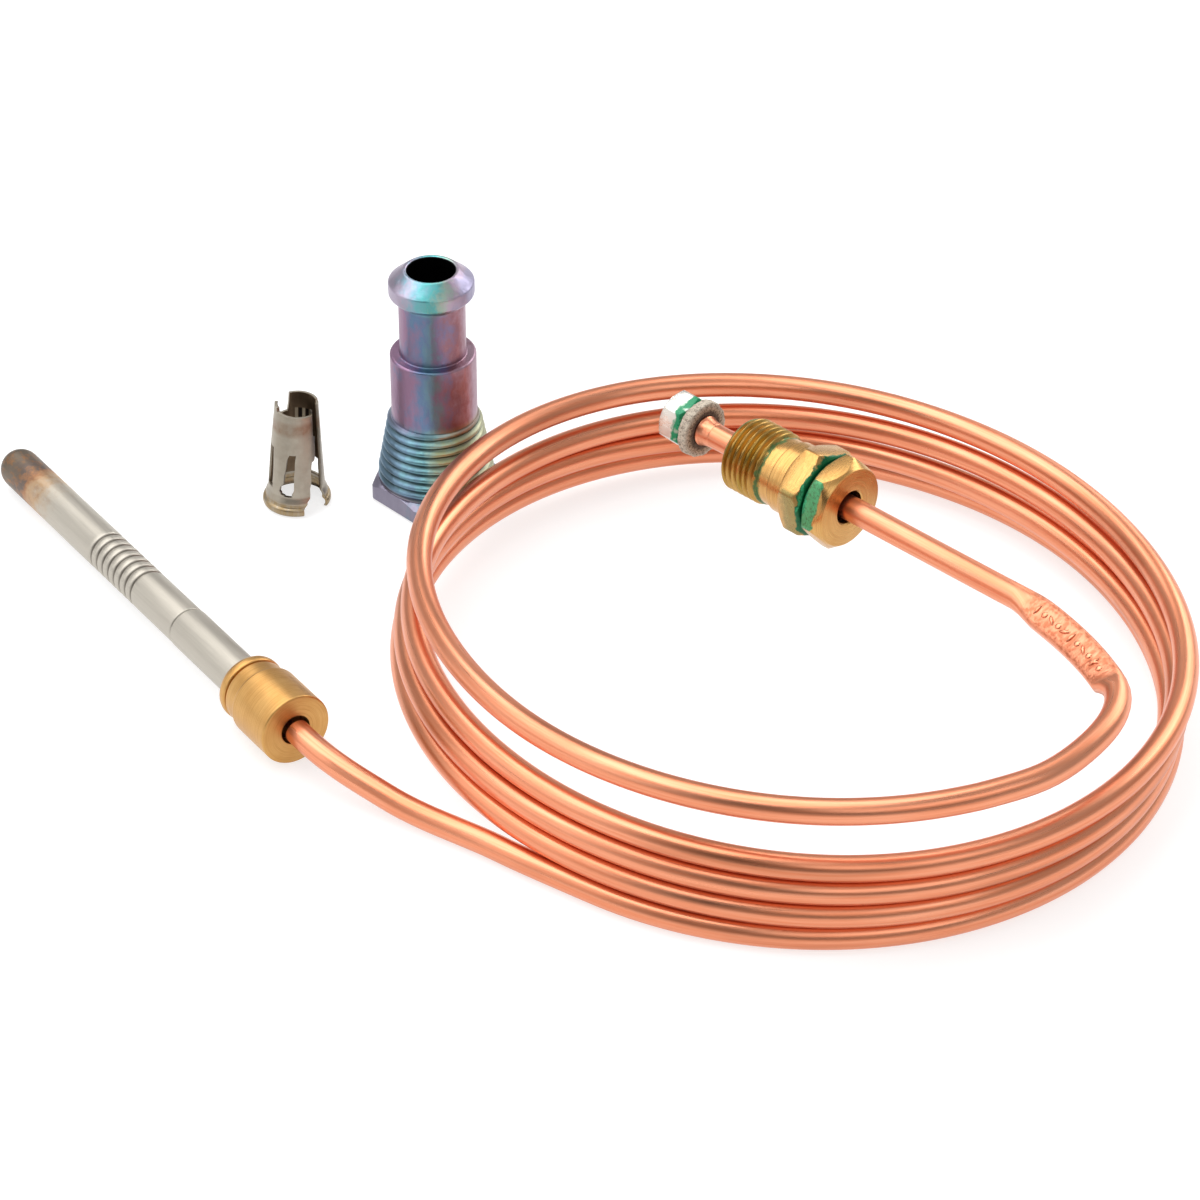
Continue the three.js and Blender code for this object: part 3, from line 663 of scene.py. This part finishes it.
# Share of a mark's outline and of its rise at each of its rings.
MARK_RINGS = [(1.0, -0.15), (1.0, 0.0), (0.75, 0.7), (0.35, 1.0)]
# Half length, half width and turn in degrees of each kind of raised mark: bars and dots.
MARK_KINDS = [(0.72, 0.22, 0), (0.40, 0.40, 0), (0.72, 0.22, 60), (0.40, 0.40, 0), (0.72, 0.22, -60)]


def flatness(before_face):
    """How far the tube is flattened, from 0 to 1, by its distance from the nut's end face."""
    ease_in = np.clip((before_face - STAMP_START) / STAMP_EASE_IN, 0, 1)
    ease_out = np.clip((STAMP_END - before_face) / STAMP_EASE_OUT, 0, 1)
    flat = np.minimum(ease_in, ease_out)
    return flat * flat * (3 - 2 * flat)


def raised_marks(line, before_face, across, upward):
    """Low domes along the flat face: generic marks without any lettering."""
    level = LEAD_RADIUS * STAMP_THICKNESS
    points = []
    faces = []
    grain = []
    for k in range(MARK_COUNT):
        at = MARK_FIRST + k * MARK_PITCH
        row = int(np.argmin(np.abs(before_face - at)))
        forward = np.cross(upward[row], across[row])
        half_long, half_wide, turn_deg = MARK_KINDS[k % len(MARK_KINDS)]
        turn = math.radians(turn_deg)
        first = len(points)
        for share, rise in MARK_RINGS:
            for angle in even_angles(MARK_SIDES):
                u = share * half_long * math.cos(angle)
                v = share * half_wide * math.sin(angle)
                a = u * math.cos(turn) - v * math.sin(turn)
                b = u * math.sin(turn) + v * math.cos(turn)
                points.append(line[row] + across[row] * (STAMP_CENTRE + a) + forward * b
                              + upward[row] * (level + rise * MARK_RISE))
                grain.append((a, level, at + b))
        cap = skin(len(MARK_RINGS), MARK_SIDES, False)
        faces += [tuple(first + i for i in face) for face in cap]
    return points, faces, grain


def lead():
    line, along = lead_line()
    tangent = np.gradient(line, axis=0)
    tangent /= np.linalg.norm(tangent, axis=1)[:, None]
    side = np.cross(tangent, UP)
    side /= np.linalg.norm(side, axis=1)[:, None]
    top = np.cross(side, tangent)
    nut_face = along[-1] - LEAD_END
    before_face = nut_face - along
    flat = flatness(before_face)
    angles = even_angles(LEAD_SIDES)
    wide = 1 + (STAMP_WIDTH - 1) * flat[:, None]
    thick = 1 + (STAMP_THICKNESS - 1) * flat[:, None]
    power = 1 - STAMP_SQUARENESS * flat[:, None]
    cos = np.sign(np.cos(angles)) * np.abs(np.cos(angles)) ** power
    sin = np.sign(np.sin(angles)) * np.abs(np.sin(angles)) ** power
    across = LEAD_RADIUS * wide * cos + STAMP_CENTRE * flat[:, None]
    upward = LEAD_RADIUS * thick * sin
    tilt = np.radians(STAMP_TILT_DEG) * flat
    flat_across = side * np.cos(tilt)[:, None] + top * np.sin(tilt)[:, None]
    flat_upward = top * np.cos(tilt)[:, None] - side * np.sin(tilt)[:, None]
    rings = (line[:, None] + across[..., None] * flat_across[:, None]
             + upward[..., None] * flat_upward[:, None])
    grain = np.stack([
        np.broadcast_to(LEAD_RADIUS * np.cos(angles), across.shape),
        np.broadcast_to(LEAD_RADIUS * np.sin(angles), across.shape),
        np.repeat(along[:, None], LEAD_SIDES, axis=1),
    ], axis=-1)
    faces = skin(len(line), LEAD_SIDES, False)
    points = rings.reshape(-1, 3)
    marks, mark_faces, mark_grain = raised_marks(line, before_face, flat_across, flat_upward)
    faces += [tuple(len(points) + i for i in face) for face in mark_faces]
    stamped = (nut_face - STAMP_END + DULL_FROM_END,
               nut_face - STAMP_START - STAMP_EASE_IN / 2 - DULL_FROM_START)
    made = piece("copper_lead", np.vstack([points, marks]), faces,
                 np.vstack([grain.reshape(-1, 3), mark_grain]), copper(stamped=stamped), FIXED)
    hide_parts("lead_probe_end", "lead_coil", "lead_last_turn")
    return made, line, along


# ---- Probe -------------------------------------------------------------------------------

SLEEVE_FACE = np.array([8.2, -28.8, 4.32])
TIP_CENTRE = np.array([-26.95, 24.3, 2.45])
PROBE_LENGTH = float(np.linalg.norm(TIP_CENTRE - SLEEVE_FACE))
SHEATH_RADIUS = 2.38
SEAM_TO_TIP = 40.3
SEAM = PROBE_LENGTH - SEAM_TO_TIP
GROOVE_COUNT = 8
GROOVE_PITCH = 1.33
GROOVES_FROM_TIP = 21.6
FIRST_GROOVE = PROBE_LENGTH - GROOVES_FROM_TIP - (GROOVE_COUNT - 1) * GROOVE_PITCH
# A rolled groove as (place along the tube, depth), then the slight swelling before the next one.
GROOVE = [
    (-0.36, 0.0), (-0.17, 0.08), (-0.07, 0.26), (0.07, 0.26), (0.17, 0.08), (0.36, 0.0), (0.7, -0.02),
]


def probe():
    place = Place(SLEEVE_FACE, TIP_CENTRE - SLEEVE_FACE, np.cross(TIP_CENTRE - SLEEVE_FACE, UP))
    steel = stainless(PROBE_LENGTH)
    profile = [(0.02, SEAM + 0.10), (SHEATH_RADIUS - 0.16, SEAM + 0.10), (SHEATH_RADIUS, SEAM + 0.26)]
    for i in range(GROOVE_COUNT):
        middle = FIRST_GROOVE + i * GROOVE_PITCH
        profile += [(SHEATH_RADIUS - depth, middle + offset) for offset, depth in GROOVE]
    dome_steps = 16
    for i in range(dome_steps):
        angle = (math.pi / 2) * i / dome_steps
        profile.append(
            (SHEATH_RADIUS * math.cos(angle), PROBE_LENGTH + SHEATH_RADIUS * math.sin(angle))
        )
    profile.append((0.02, PROBE_LENGTH + SHEATH_RADIUS))
    upper = turned("sheath_upper", place, profile, steel, FIXED, 0.08, loop=False)
    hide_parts("sheath_upper_tube")
    lower_radius = SHEATH_RADIUS + 0.06
    lower = turned("sheath_lower", place, [
        (0.02, 3.6), (lower_radius, 3.6), (lower_radius, SEAM - 0.1), (lower_radius - 0.1, SEAM),
        (0.02, SEAM),
    ], steel, FIXED, 0.05, loop=False)
    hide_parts("sheath_lower_tube")
    sleeve = turned("sleeve", place, [
        (1.7, 0.0), (3.98, 0.0), (4.1, 0.12), (4.1, 6.4), (4.04, 6.65), (3.72, 6.9), (3.72, 8.6),
        (3.66, 8.7), (3.42, 8.72), (3.42, 8.92), (3.7, 8.96), (3.79, 9.2), (3.79, 9.7), (3.7, 10.0),
        (3.45, 10.35), (3.1, 10.65), (2.75, 10.87), (2.52, 10.87), (2.5, 9.5), (2.7, 9.4), (2.7, 1.6),
        (1.7, 1.6),
    ], plain_brass(), FIXED, 0.08)
    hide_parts("brass_sleeve")


# ---- Connector ---------------------------------------------------------------------------

CONNECTOR = Place(NUT_FACE, CONNECTOR_AXIS, [1, 1, 0])
NUT_FLATS = 9.5
NUT_CORNER = NUT_FLATS / math.sqrt(3)
FACE_RADIUS = 4.56
BACK_NUT_TURN_DEG = -10
BUSH_TURN_DEG = -40
FERRULE_TURN_DEG = -15
FERRULE_FLATS = 5.6
HEX_OFFSETS = (-30, -28.2, -26, -23, -20, -17, -13.5, -10, -6.5, -3, 0, 3, 6.5, 10, 13.5, 17, 20,
               23, 26, 28.2)
THREAD_PITCH = 0.794
THREAD_TURNS = 7
THREAD_CREST = 4.365
THREAD_DEPTH = 0.5
ROWS_PER_THREAD = 14
NUT_LENGTH = 15.7


def hexagon(turn_deg, flats):
    """Angles round a hexagon with a corner at turn_deg, and its radius at each of them."""
    softened = 0.985
    angles = []
    radii = []
    for k in range(6):
        for offset in HEX_OFFSETS:
            angles.append(math.radians(turn_deg + 30 + 60 * k + offset))
            radius = flats / 2 / math.cos(math.radians(offset))
            radii.append(min(radius, softened * flats / math.sqrt(3)))
    return np.array(angles), np.array(radii)


def chamfered(flat_radii, start, end, depths, face_radius, corner):
    """Rings of a hexagonal head that is chamfered at both ends. depths are the two chamfers' lengths."""
    share = np.clip((flat_radii - face_radius) / (corner - face_radius), 0, None)
    first, last = depths[0] * share, depths[1] * share
    same = np.ones_like(flat_radii)
    rim = np.minimum(flat_radii, face_radius)
    return [
        (rim - 0.12, start * same), (rim, (start + 0.03) * same),
        (flat_radii - 0.03, start + first + 0.05), (flat_radii, start + first + 0.14),
        (flat_radii, end - last - 0.14), (flat_radii - 0.03, end - last - 0.05),
        (rim, (end - 0.03) * same), (rim - 0.12, end * same),
    ]


def ring_rows(profile, sides):
    return [(np.full(sides, r), np.full(sides, t)) for r, t in profile]


def threaded(angles, start, end, pitch, crest, depth):
    """Rings of a right-handed rounded thread. crest gives the crest radius at a height."""
    rows = []
    count = int(round((end - start) / pitch * ROWS_PER_THREAD))
    for i in range(count + 1):
        t = start + (end - start) * i / count
        phase = (t - start) / pitch - angles / (2 * math.pi)
        wave = 0.5 + 0.5 * np.cos(2 * math.pi * phase)
        fade = min(1.0, (t - start) / pitch, (end - t) / (0.5 * pitch))
        height = crest(t) - depth * (1 - wave**0.8 * (0.25 + 0.75 * fade))
        rows.append((height, np.full(len(angles), t)))
    return rows


def polar_rows(name, place, angles, rows, surface, body, loop=True):
    radius = np.array([row[0] for row in rows])
    height = np.array([row[1] for row in rows])
    return polar(name, place, angles, radius, height, surface, body, loop)


def connector(surface):
    angles, flats = hexagon(BACK_NUT_TURN_DEG, NUT_FLATS)
    sides = len(angles)
    rows = ring_rows([(1.95, 8.0), (1.95, 0.15), (2.1, 0.0)], sides)
    rows += chamfered(flats, 0.0, 2.95, (1.25, 0.7), FACE_RADIUS, NUT_CORNER)
    rows += ring_rows([(2.9, 2.95), (2.9, 8.0)], sides)
    back = polar_rows("nut_back", CONNECTOR, angles, rows, surface, "connector")
    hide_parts("back_nut")

    angles, flats = hexagon(BUSH_TURN_DEG, NUT_FLATS)
    thread_start = NUT_LENGTH - THREAD_TURNS * THREAD_PITCH
    rows = ring_rows([(3.2, 8.3), (3.2, 3.25)], sides)
    rows += chamfered(flats, 3.25, 6.6, (0.7, 0.7), FACE_RADIUS, NUT_CORNER)
    rows += ring_rows([(4.24, 6.6), (4.2, 6.66), (4.2, 8.5), (4.12, 8.62), (3.95, 8.7),
                       (3.95, thread_start - 0.05)], sides)
    rows += threaded(angles, thread_start, NUT_LENGTH - 0.1, THREAD_PITCH,
                     lambda t: THREAD_CREST, THREAD_DEPTH)
    rows += ring_rows([(3.75, NUT_LENGTH), (2.1, NUT_LENGTH), (1.95, NUT_LENGTH - 0.15),
                       (1.95, 8.3)], sides)
    bush = polar_rows("nut_bush", CONNECTOR, angles, rows, surface, "connector")
    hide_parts("threaded_bush")
    return [back, bush]


def contact_end():
    flare = turned("lead_flare", CONNECTOR, [
        (0.75, 20.15), (1.42, 20.15), (1.46, 20.6), (1.54, 21.1), (1.66, 21.5), (1.78, 21.72),
        (1.78, 21.8),
        (1.5, 21.8), (1.5, 24.7), (0.75, 24.7),
    ], copper("copper_flare", 0.2), FIXED, 0.1)
    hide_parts("lead_end_flare")

    angles = even_angles(ROUND_SIDES)
    ragged = 0.05 * np.sin(5 * angles + 1.0) + 0.04 * np.sin(13 * angles) + 0.03 * np.sin(31 * angles)
    sides = len(angles)
    rows = ring_rows([(1.8, 23.1), (1.8, 21.9)], sides)
    for radius, t in ((3.1, 21.9), (3.24, 21.96), (3.28, 22.15), (3.28, 22.85), (3.2, 23.06),
                      (3.05, 23.1)):
        rows.append((radius + ragged, np.full(sides, t)))
    washer = polar_rows("washer", CONNECTOR, angles, rows, fibre(), FIXED)
    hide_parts("fibre_washer")

    angles, flats = hexagon(FERRULE_TURN_DEG, FERRULE_FLATS)
    sides = len(angles)
    corner = FERRULE_FLATS / math.sqrt(3)
    rows = ring_rows([(1.8, 26.25), (1.8, 23.45)], sides)
    rows += chamfered(flats, 23.4, 26.4, (0.3, 0.3), corner - 0.45, corner)
    tin = tinned()
    ferrule = polar_rows("ferrule", CONNECTOR, angles, rows, tin, FIXED)
    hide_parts("contact_ferrule")

    button = turned("button", CONNECTOR, [
        (0.02, 25.8), (1.4, 25.8), (1.4, 26.5), (1.25, 26.8), (0.9, 27.05), (0.45, 27.22),
        (0.02, 27.27),
    ], tin, FIXED, 0.08, loop=False, sides=48)
    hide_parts("contact_button")
    return [flare, washer, ferrule, button]


# ---- Loose adapters ----------------------------------------------------------------------

ADAPTER = Place([21.5, 23.6, 0.0], UP, [1, 0, 0])
FLANGE_TURN_DEG = 13.4
FLANGE_CORNER = 7.7
FLANGE_HEIGHT = 2.35
FLANGE_RIM = 6.75
FLANGE_CHAMFER = 0.7
TAPER_TOP = 10.9
TAPER_WIDE = 6.95
TAPER_NARROW = 5.4
TAPER_TURNS = 8
TAPER_DEPTH = 0.40
ADAPTER_HEIGHT = 30.0


def adapter():
    angles, flats = hexagon(FLANGE_TURN_DEG, FLANGE_CORNER * math.sqrt(3))
    sides = len(angles)

    def crest(t):
        share = (t - FLANGE_HEIGHT) / (TAPER_TOP - FLANGE_HEIGHT)
        return TAPER_WIDE + share * (TAPER_NARROW - TAPER_WIDE)

    rows = ring_rows([(2.78, 0.2), (3.0, 0.0)], sides)
    rows += [
        (flats - 0.15, np.full(sides, 0.0)), (flats, np.full(sides, 0.15)),
        (flats, FLANGE_HEIGHT - FLANGE_CHAMFER * np.clip(flats - FLANGE_RIM, 0.08, None)),
        (np.minimum(flats, FLANGE_RIM) - 0.05, np.full(sides, FLANGE_HEIGHT)),
        (np.full(sides, 6.45), np.full(sides, FLANGE_HEIGHT)),
    ]
    pitch = (TAPER_TOP - FLANGE_HEIGHT) / TAPER_TURNS
    rows += threaded(angles, FLANGE_HEIGHT + 0.01, TAPER_TOP, pitch, crest, TAPER_DEPTH)
    upper = filleted([
        (4.97, TAPER_TOP), (4.97, 18.95), (4.78, 19.12), (3.83, 19.12), (3.83, 26.1), (4.05, 26.4),
        (4.62, 26.75), (4.92, 27.1), (4.92, 28.55), (3.2, 29.98), (2.95, ADAPTER_HEIGHT), (2.78, 29.85),
    ], 0.16, loop=False)
    rows += ring_rows(upper, sides)
    made = polar_rows("adapter_body", ADAPTER, angles, rows, chromate(), "adapter")
    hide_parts("threaded_adapter")


CLIP = Place([5.3, 21.7, 0.0], UP, [1, 0, 0])
CLIP_SHEET = 0.35
CLIP_PROFILE = [
    (3.72, 0.0), (3.92, 0.18), (3.98, 0.5), (3.92, 0.85), (3.62, 1.05), (3.56, 1.25), (3.62, 1.5),
    (3.5, 1.8), (3.3, 2.2), (2.95, 7.5), (2.52, 13.38),
]
# Windows in the clip, each an outline of (plan angle in degrees, height).
CLIP_WINDOWS = {
    "front_slot": [
        (-103, 7.9), (-87, 7.9), (-90, 6.0), (-92, 4.0), (-94, 2.9), (-97, 2.35), (-112, 2.35),
        (-121, 2.55), (-125, 2.9), (-115, 4.0), (-110, 6.0),
    ],
    "right_split": [
        (-42, 14.5), (-43, 10.1), (-37, 9.8), (-39, 8.0), (-42, 6.9), (-50, 6.6), (-54, 4.0),
        (-58, 2.4), (-66, 1.7), (-74, 0.9), (-78, -1.0), (-22, -1.0), (-22, 1.2), (-24, 2.4),
        (-22, 4.0), (-17, 6.5), (-12, 10.0), (-10, 14.5),
    ],
    "right_side": [(10, 14.5), (9, 2.2), (18, 2.1), (20, 14.5)],
    "back_low": [(20, 4.7), (20, 2.1), (62, 2.1), (60, 4.7)],
    "left_top": [(114, 14.5), (117, 10.9), (150, 10.9), (172, 11.4), (172, 14.5)],
    "left_side": [(-172, 8.2), (-172, 2.9), (-146, 2.9), (-150, 8.2)],
    "front_top": [(-152, 14.5), (-148, 13.0), (-120, 12.9), (-43, 12.65), (-43, 14.5)],
}
CLIP_LEAN = 0.45
CLIP_LEAN_POWER = 1.5
CLIP_SIDES = 120
CLIP_SHARP_DEG = 25
# A cutter reaches from near the axis to well outside the sheet.
CUTTER_RADII = (0.8, 6.0)
CUTTER_STEP_DEG = 6


def wedge(outline):
    """Cutter for one window of the clip."""
    points = []
    faces = []
    fine = []
    for i, (angle, height) in enumerate(outline):
        next_angle, next_height = outline[(i + 1) % len(outline)]
        steps = max(1, int(abs(next_angle - angle) // CUTTER_STEP_DEG))
        for k in range(steps):
            s = k / steps
            fine.append((angle + s * (next_angle - angle), height + s * (next_height - height)))
    for radius in CUTTER_RADII:
        for angle, height in fine:
            a = math.radians(angle)
            points.append((radius * math.cos(a), radius * math.sin(a), height))
    count = len(fine)
    for k in range(count):
        n = (k + 1) % count
        faces.append((k, n, count + n, count + k))
    faces.append(tuple(range(count)))
    faces.append(tuple(range(count, 2 * count)))
    mesh = bpy.data.meshes.new("cutter")
    mesh.from_pydata((CLIP.points(points) * MM).tolist(), [], faces)
    work = bmesh.new()
    work.from_mesh(mesh)
    bmesh.ops.triangulate(work, faces=work.faces)
    bmesh.ops.recalc_face_normals(work, faces=work.faces)
    work.to_mesh(mesh)
    work.free()
    cutter = bpy.data.objects.new("cutter", mesh)
    bpy.context.scene.collection.objects.link(cutter)
    return cutter


def clip():
    outer = filleted(CLIP_PROFILE, 0.2, loop=False)
    outline = np.vstack([outer, outer[::-1] - [CLIP_SHEET, 0]])
    angles = even_angles(CLIP_SIDES)
    radius = np.repeat(outline[:, :1], CLIP_SIDES, axis=1)
    height = np.repeat(outline[:, 1:], CLIP_SIDES, axis=1)
    made = polar("clip_sheet", CLIP, angles, radius, height, spring_steel(), "clip")
    for window in CLIP_WINDOWS.values():
        cutter = wedge(window)
        cut = made.modifiers.new("cut", "BOOLEAN")
        cut.operation = "DIFFERENCE"
        cut.object = cutter
        cut.solver = "EXACT"
        depsgraph = bpy.context.evaluated_depsgraph_get()
        cut_mesh = bpy.data.meshes.new_from_object(made.evaluated_get(depsgraph))
        made.modifiers.clear()
        made.data = cut_mesh
        bpy.data.objects.remove(cutter)
    shade(made.data, CLIP_SHARP_DEG)
    positions = np.empty(len(made.data.vertices) * 3)
    made.data.vertices.foreach_get("co", positions)
    local = positions.reshape(-1, 3) / MM - CLIP.origin
    leaning = local + CLIP.origin
    leaning[:, 0] += CLIP_LEAN * (local[:, 2] / CLIP_PROFILE[-1][1]) ** CLIP_LEAN_POWER
    made.data.vertices.foreach_set("co", (leaning * MM).ravel())
    set_grain(made.data, local)
    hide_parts("spring_clip")


# ---- Hidden pieces -----------------------------------------------------------------------

HIDDEN = {
    "cold_junction_bush": "brass", "cold_junction_weld": "tin", "hot_junction_weld": "stainless",
    "core_wire_probe_end": "copper", "core_wire_contact_end": "copper",
    "inner_electrode": "stainless", "electrode_insulator_cold": "insulation",
    "electrode_insulator_hot": "insulation", "contact_insulator": "insulation",
}


def dress_hidden():
    surfaces = {
        "brass": plain_brass(), "tin": tinned(), "stainless": stainless(PROBE_LENGTH),
        "copper": copper("copper_core"), "insulation": ceramic(),
    }
    for node, kind in HIDDEN.items():
        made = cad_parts[node]
        made.data.materials.clear()
        made.data.materials.append(surfaces[kind])


# ---- Studio ------------------------------------------------------------------------------

FLOOR_HALF = 3.0
FLOOR_DROP = 0.0001
LIGHT_TARGET = (0.03, -0.01, 0.0)
# Name, place, width, height and watts of each light, in metres.
LIGHTS = [
    ("key", (-0.25, 0.15, 0.75), 1.0, 0.8, 6.2),
    ("front", (0.30, -0.70, 0.70), 0.9, 0.5, 2.2),
    ("rim", (0.55, 0.55, 0.45), 0.7, 0.45, 2.9),
    ("left", (-0.75, -0.10, 0.35), 0.8, 0.5, 1.3),
]
DARK_SIDE = (0.0, -0.8166, 0.5771)
# The dark side is a level band: directions are squeezed by this before they are compared.
DARK_BAND = (0.45, 1.0, 1.0)
# Light from all round by how directly it comes from the dark side: pale, then none.
WORLD_GLOW = [(0.89, (0.47, 0.47, 0.47)), (0.965, (0.0, 0.0, 0.0))]


def studio_floor():
    reach = FLOOR_HALF
    mesh = bpy.data.meshes.new("floor")
    mesh.from_pydata(
        [(-reach, -reach, 0), (reach, -reach, 0), (reach, reach, 0), (-reach, reach, 0)],
        [], [(0, 1, 2, 3)],
    )
    mesh.materials.append(paper_floor())
    floor = bpy.data.objects.new("floor", mesh)
    floor.location = (0, 0, -FLOOR_DROP)
    bpy.context.scene.collection.objects.link(floor)


def studio_lights():
    for name, place, width, height, watts in LIGHTS:
        data = bpy.data.lights.new(name, "AREA")
        data.shape = "RECTANGLE"
        data.size = width
        data.size_y = height
        data.energy = watts
        light = bpy.data.objects.new(name, data)
        light.location = place
        towards = Vector(LIGHT_TARGET) - Vector(place)
        light.rotation_euler = towards.to_track_quat("-Z", "Y").to_euler()
        bpy.context.scene.collection.objects.link(light)


def studio_world():
    world = bpy.data.worlds.new("studio")
    world.use_nodes = True
    tree = world.node_tree
    around = tree.nodes.new("ShaderNodeTexCoord")
    squeezed = tree.nodes.new("ShaderNodeVectorMath")
    squeezed.operation = "MULTIPLY"
    squeezed.inputs[1].default_value = DARK_BAND
    level = tree.nodes.new("ShaderNodeVectorMath")
    level.operation = "NORMALIZE"
    towards = tree.nodes.new("ShaderNodeVectorMath")
    towards.operation = "DOT_PRODUCT"
    towards.inputs[1].default_value = DARK_SIDE
    glow = tree.nodes.new("ShaderNodeValToRGB")
    glow.color_ramp.interpolation = "EASE"
    for element, (place, colour) in zip(glow.color_ramp.elements, WORLD_GLOW):
        element.position = place
        element.color = (*colour, 1.0)
    tree.links.new(around.outputs["Generated"], squeezed.inputs[0])
    tree.links.new(squeezed.outputs[0], level.inputs[0])
    tree.links.new(level.outputs[0], towards.inputs[0])
    tree.links.new(towards.outputs["Value"], glow.inputs[0])
    tree.links.new(glow.outputs[0], tree.nodes["Background"].inputs["Color"])
    bpy.context.scene.world = world
    bpy.context.scene.view_settings.view_transform = "Standard"


# ---- Build -------------------------------------------------------------------------------

lead_piece, LEAD_LINE, LEAD_ALONG = lead()
ends = contact_end()
nuts = connector(lacquered_brass())
probe()
adapter()
clip()
dress_hidden()
studio_floor()
studio_lights()
studio_world()
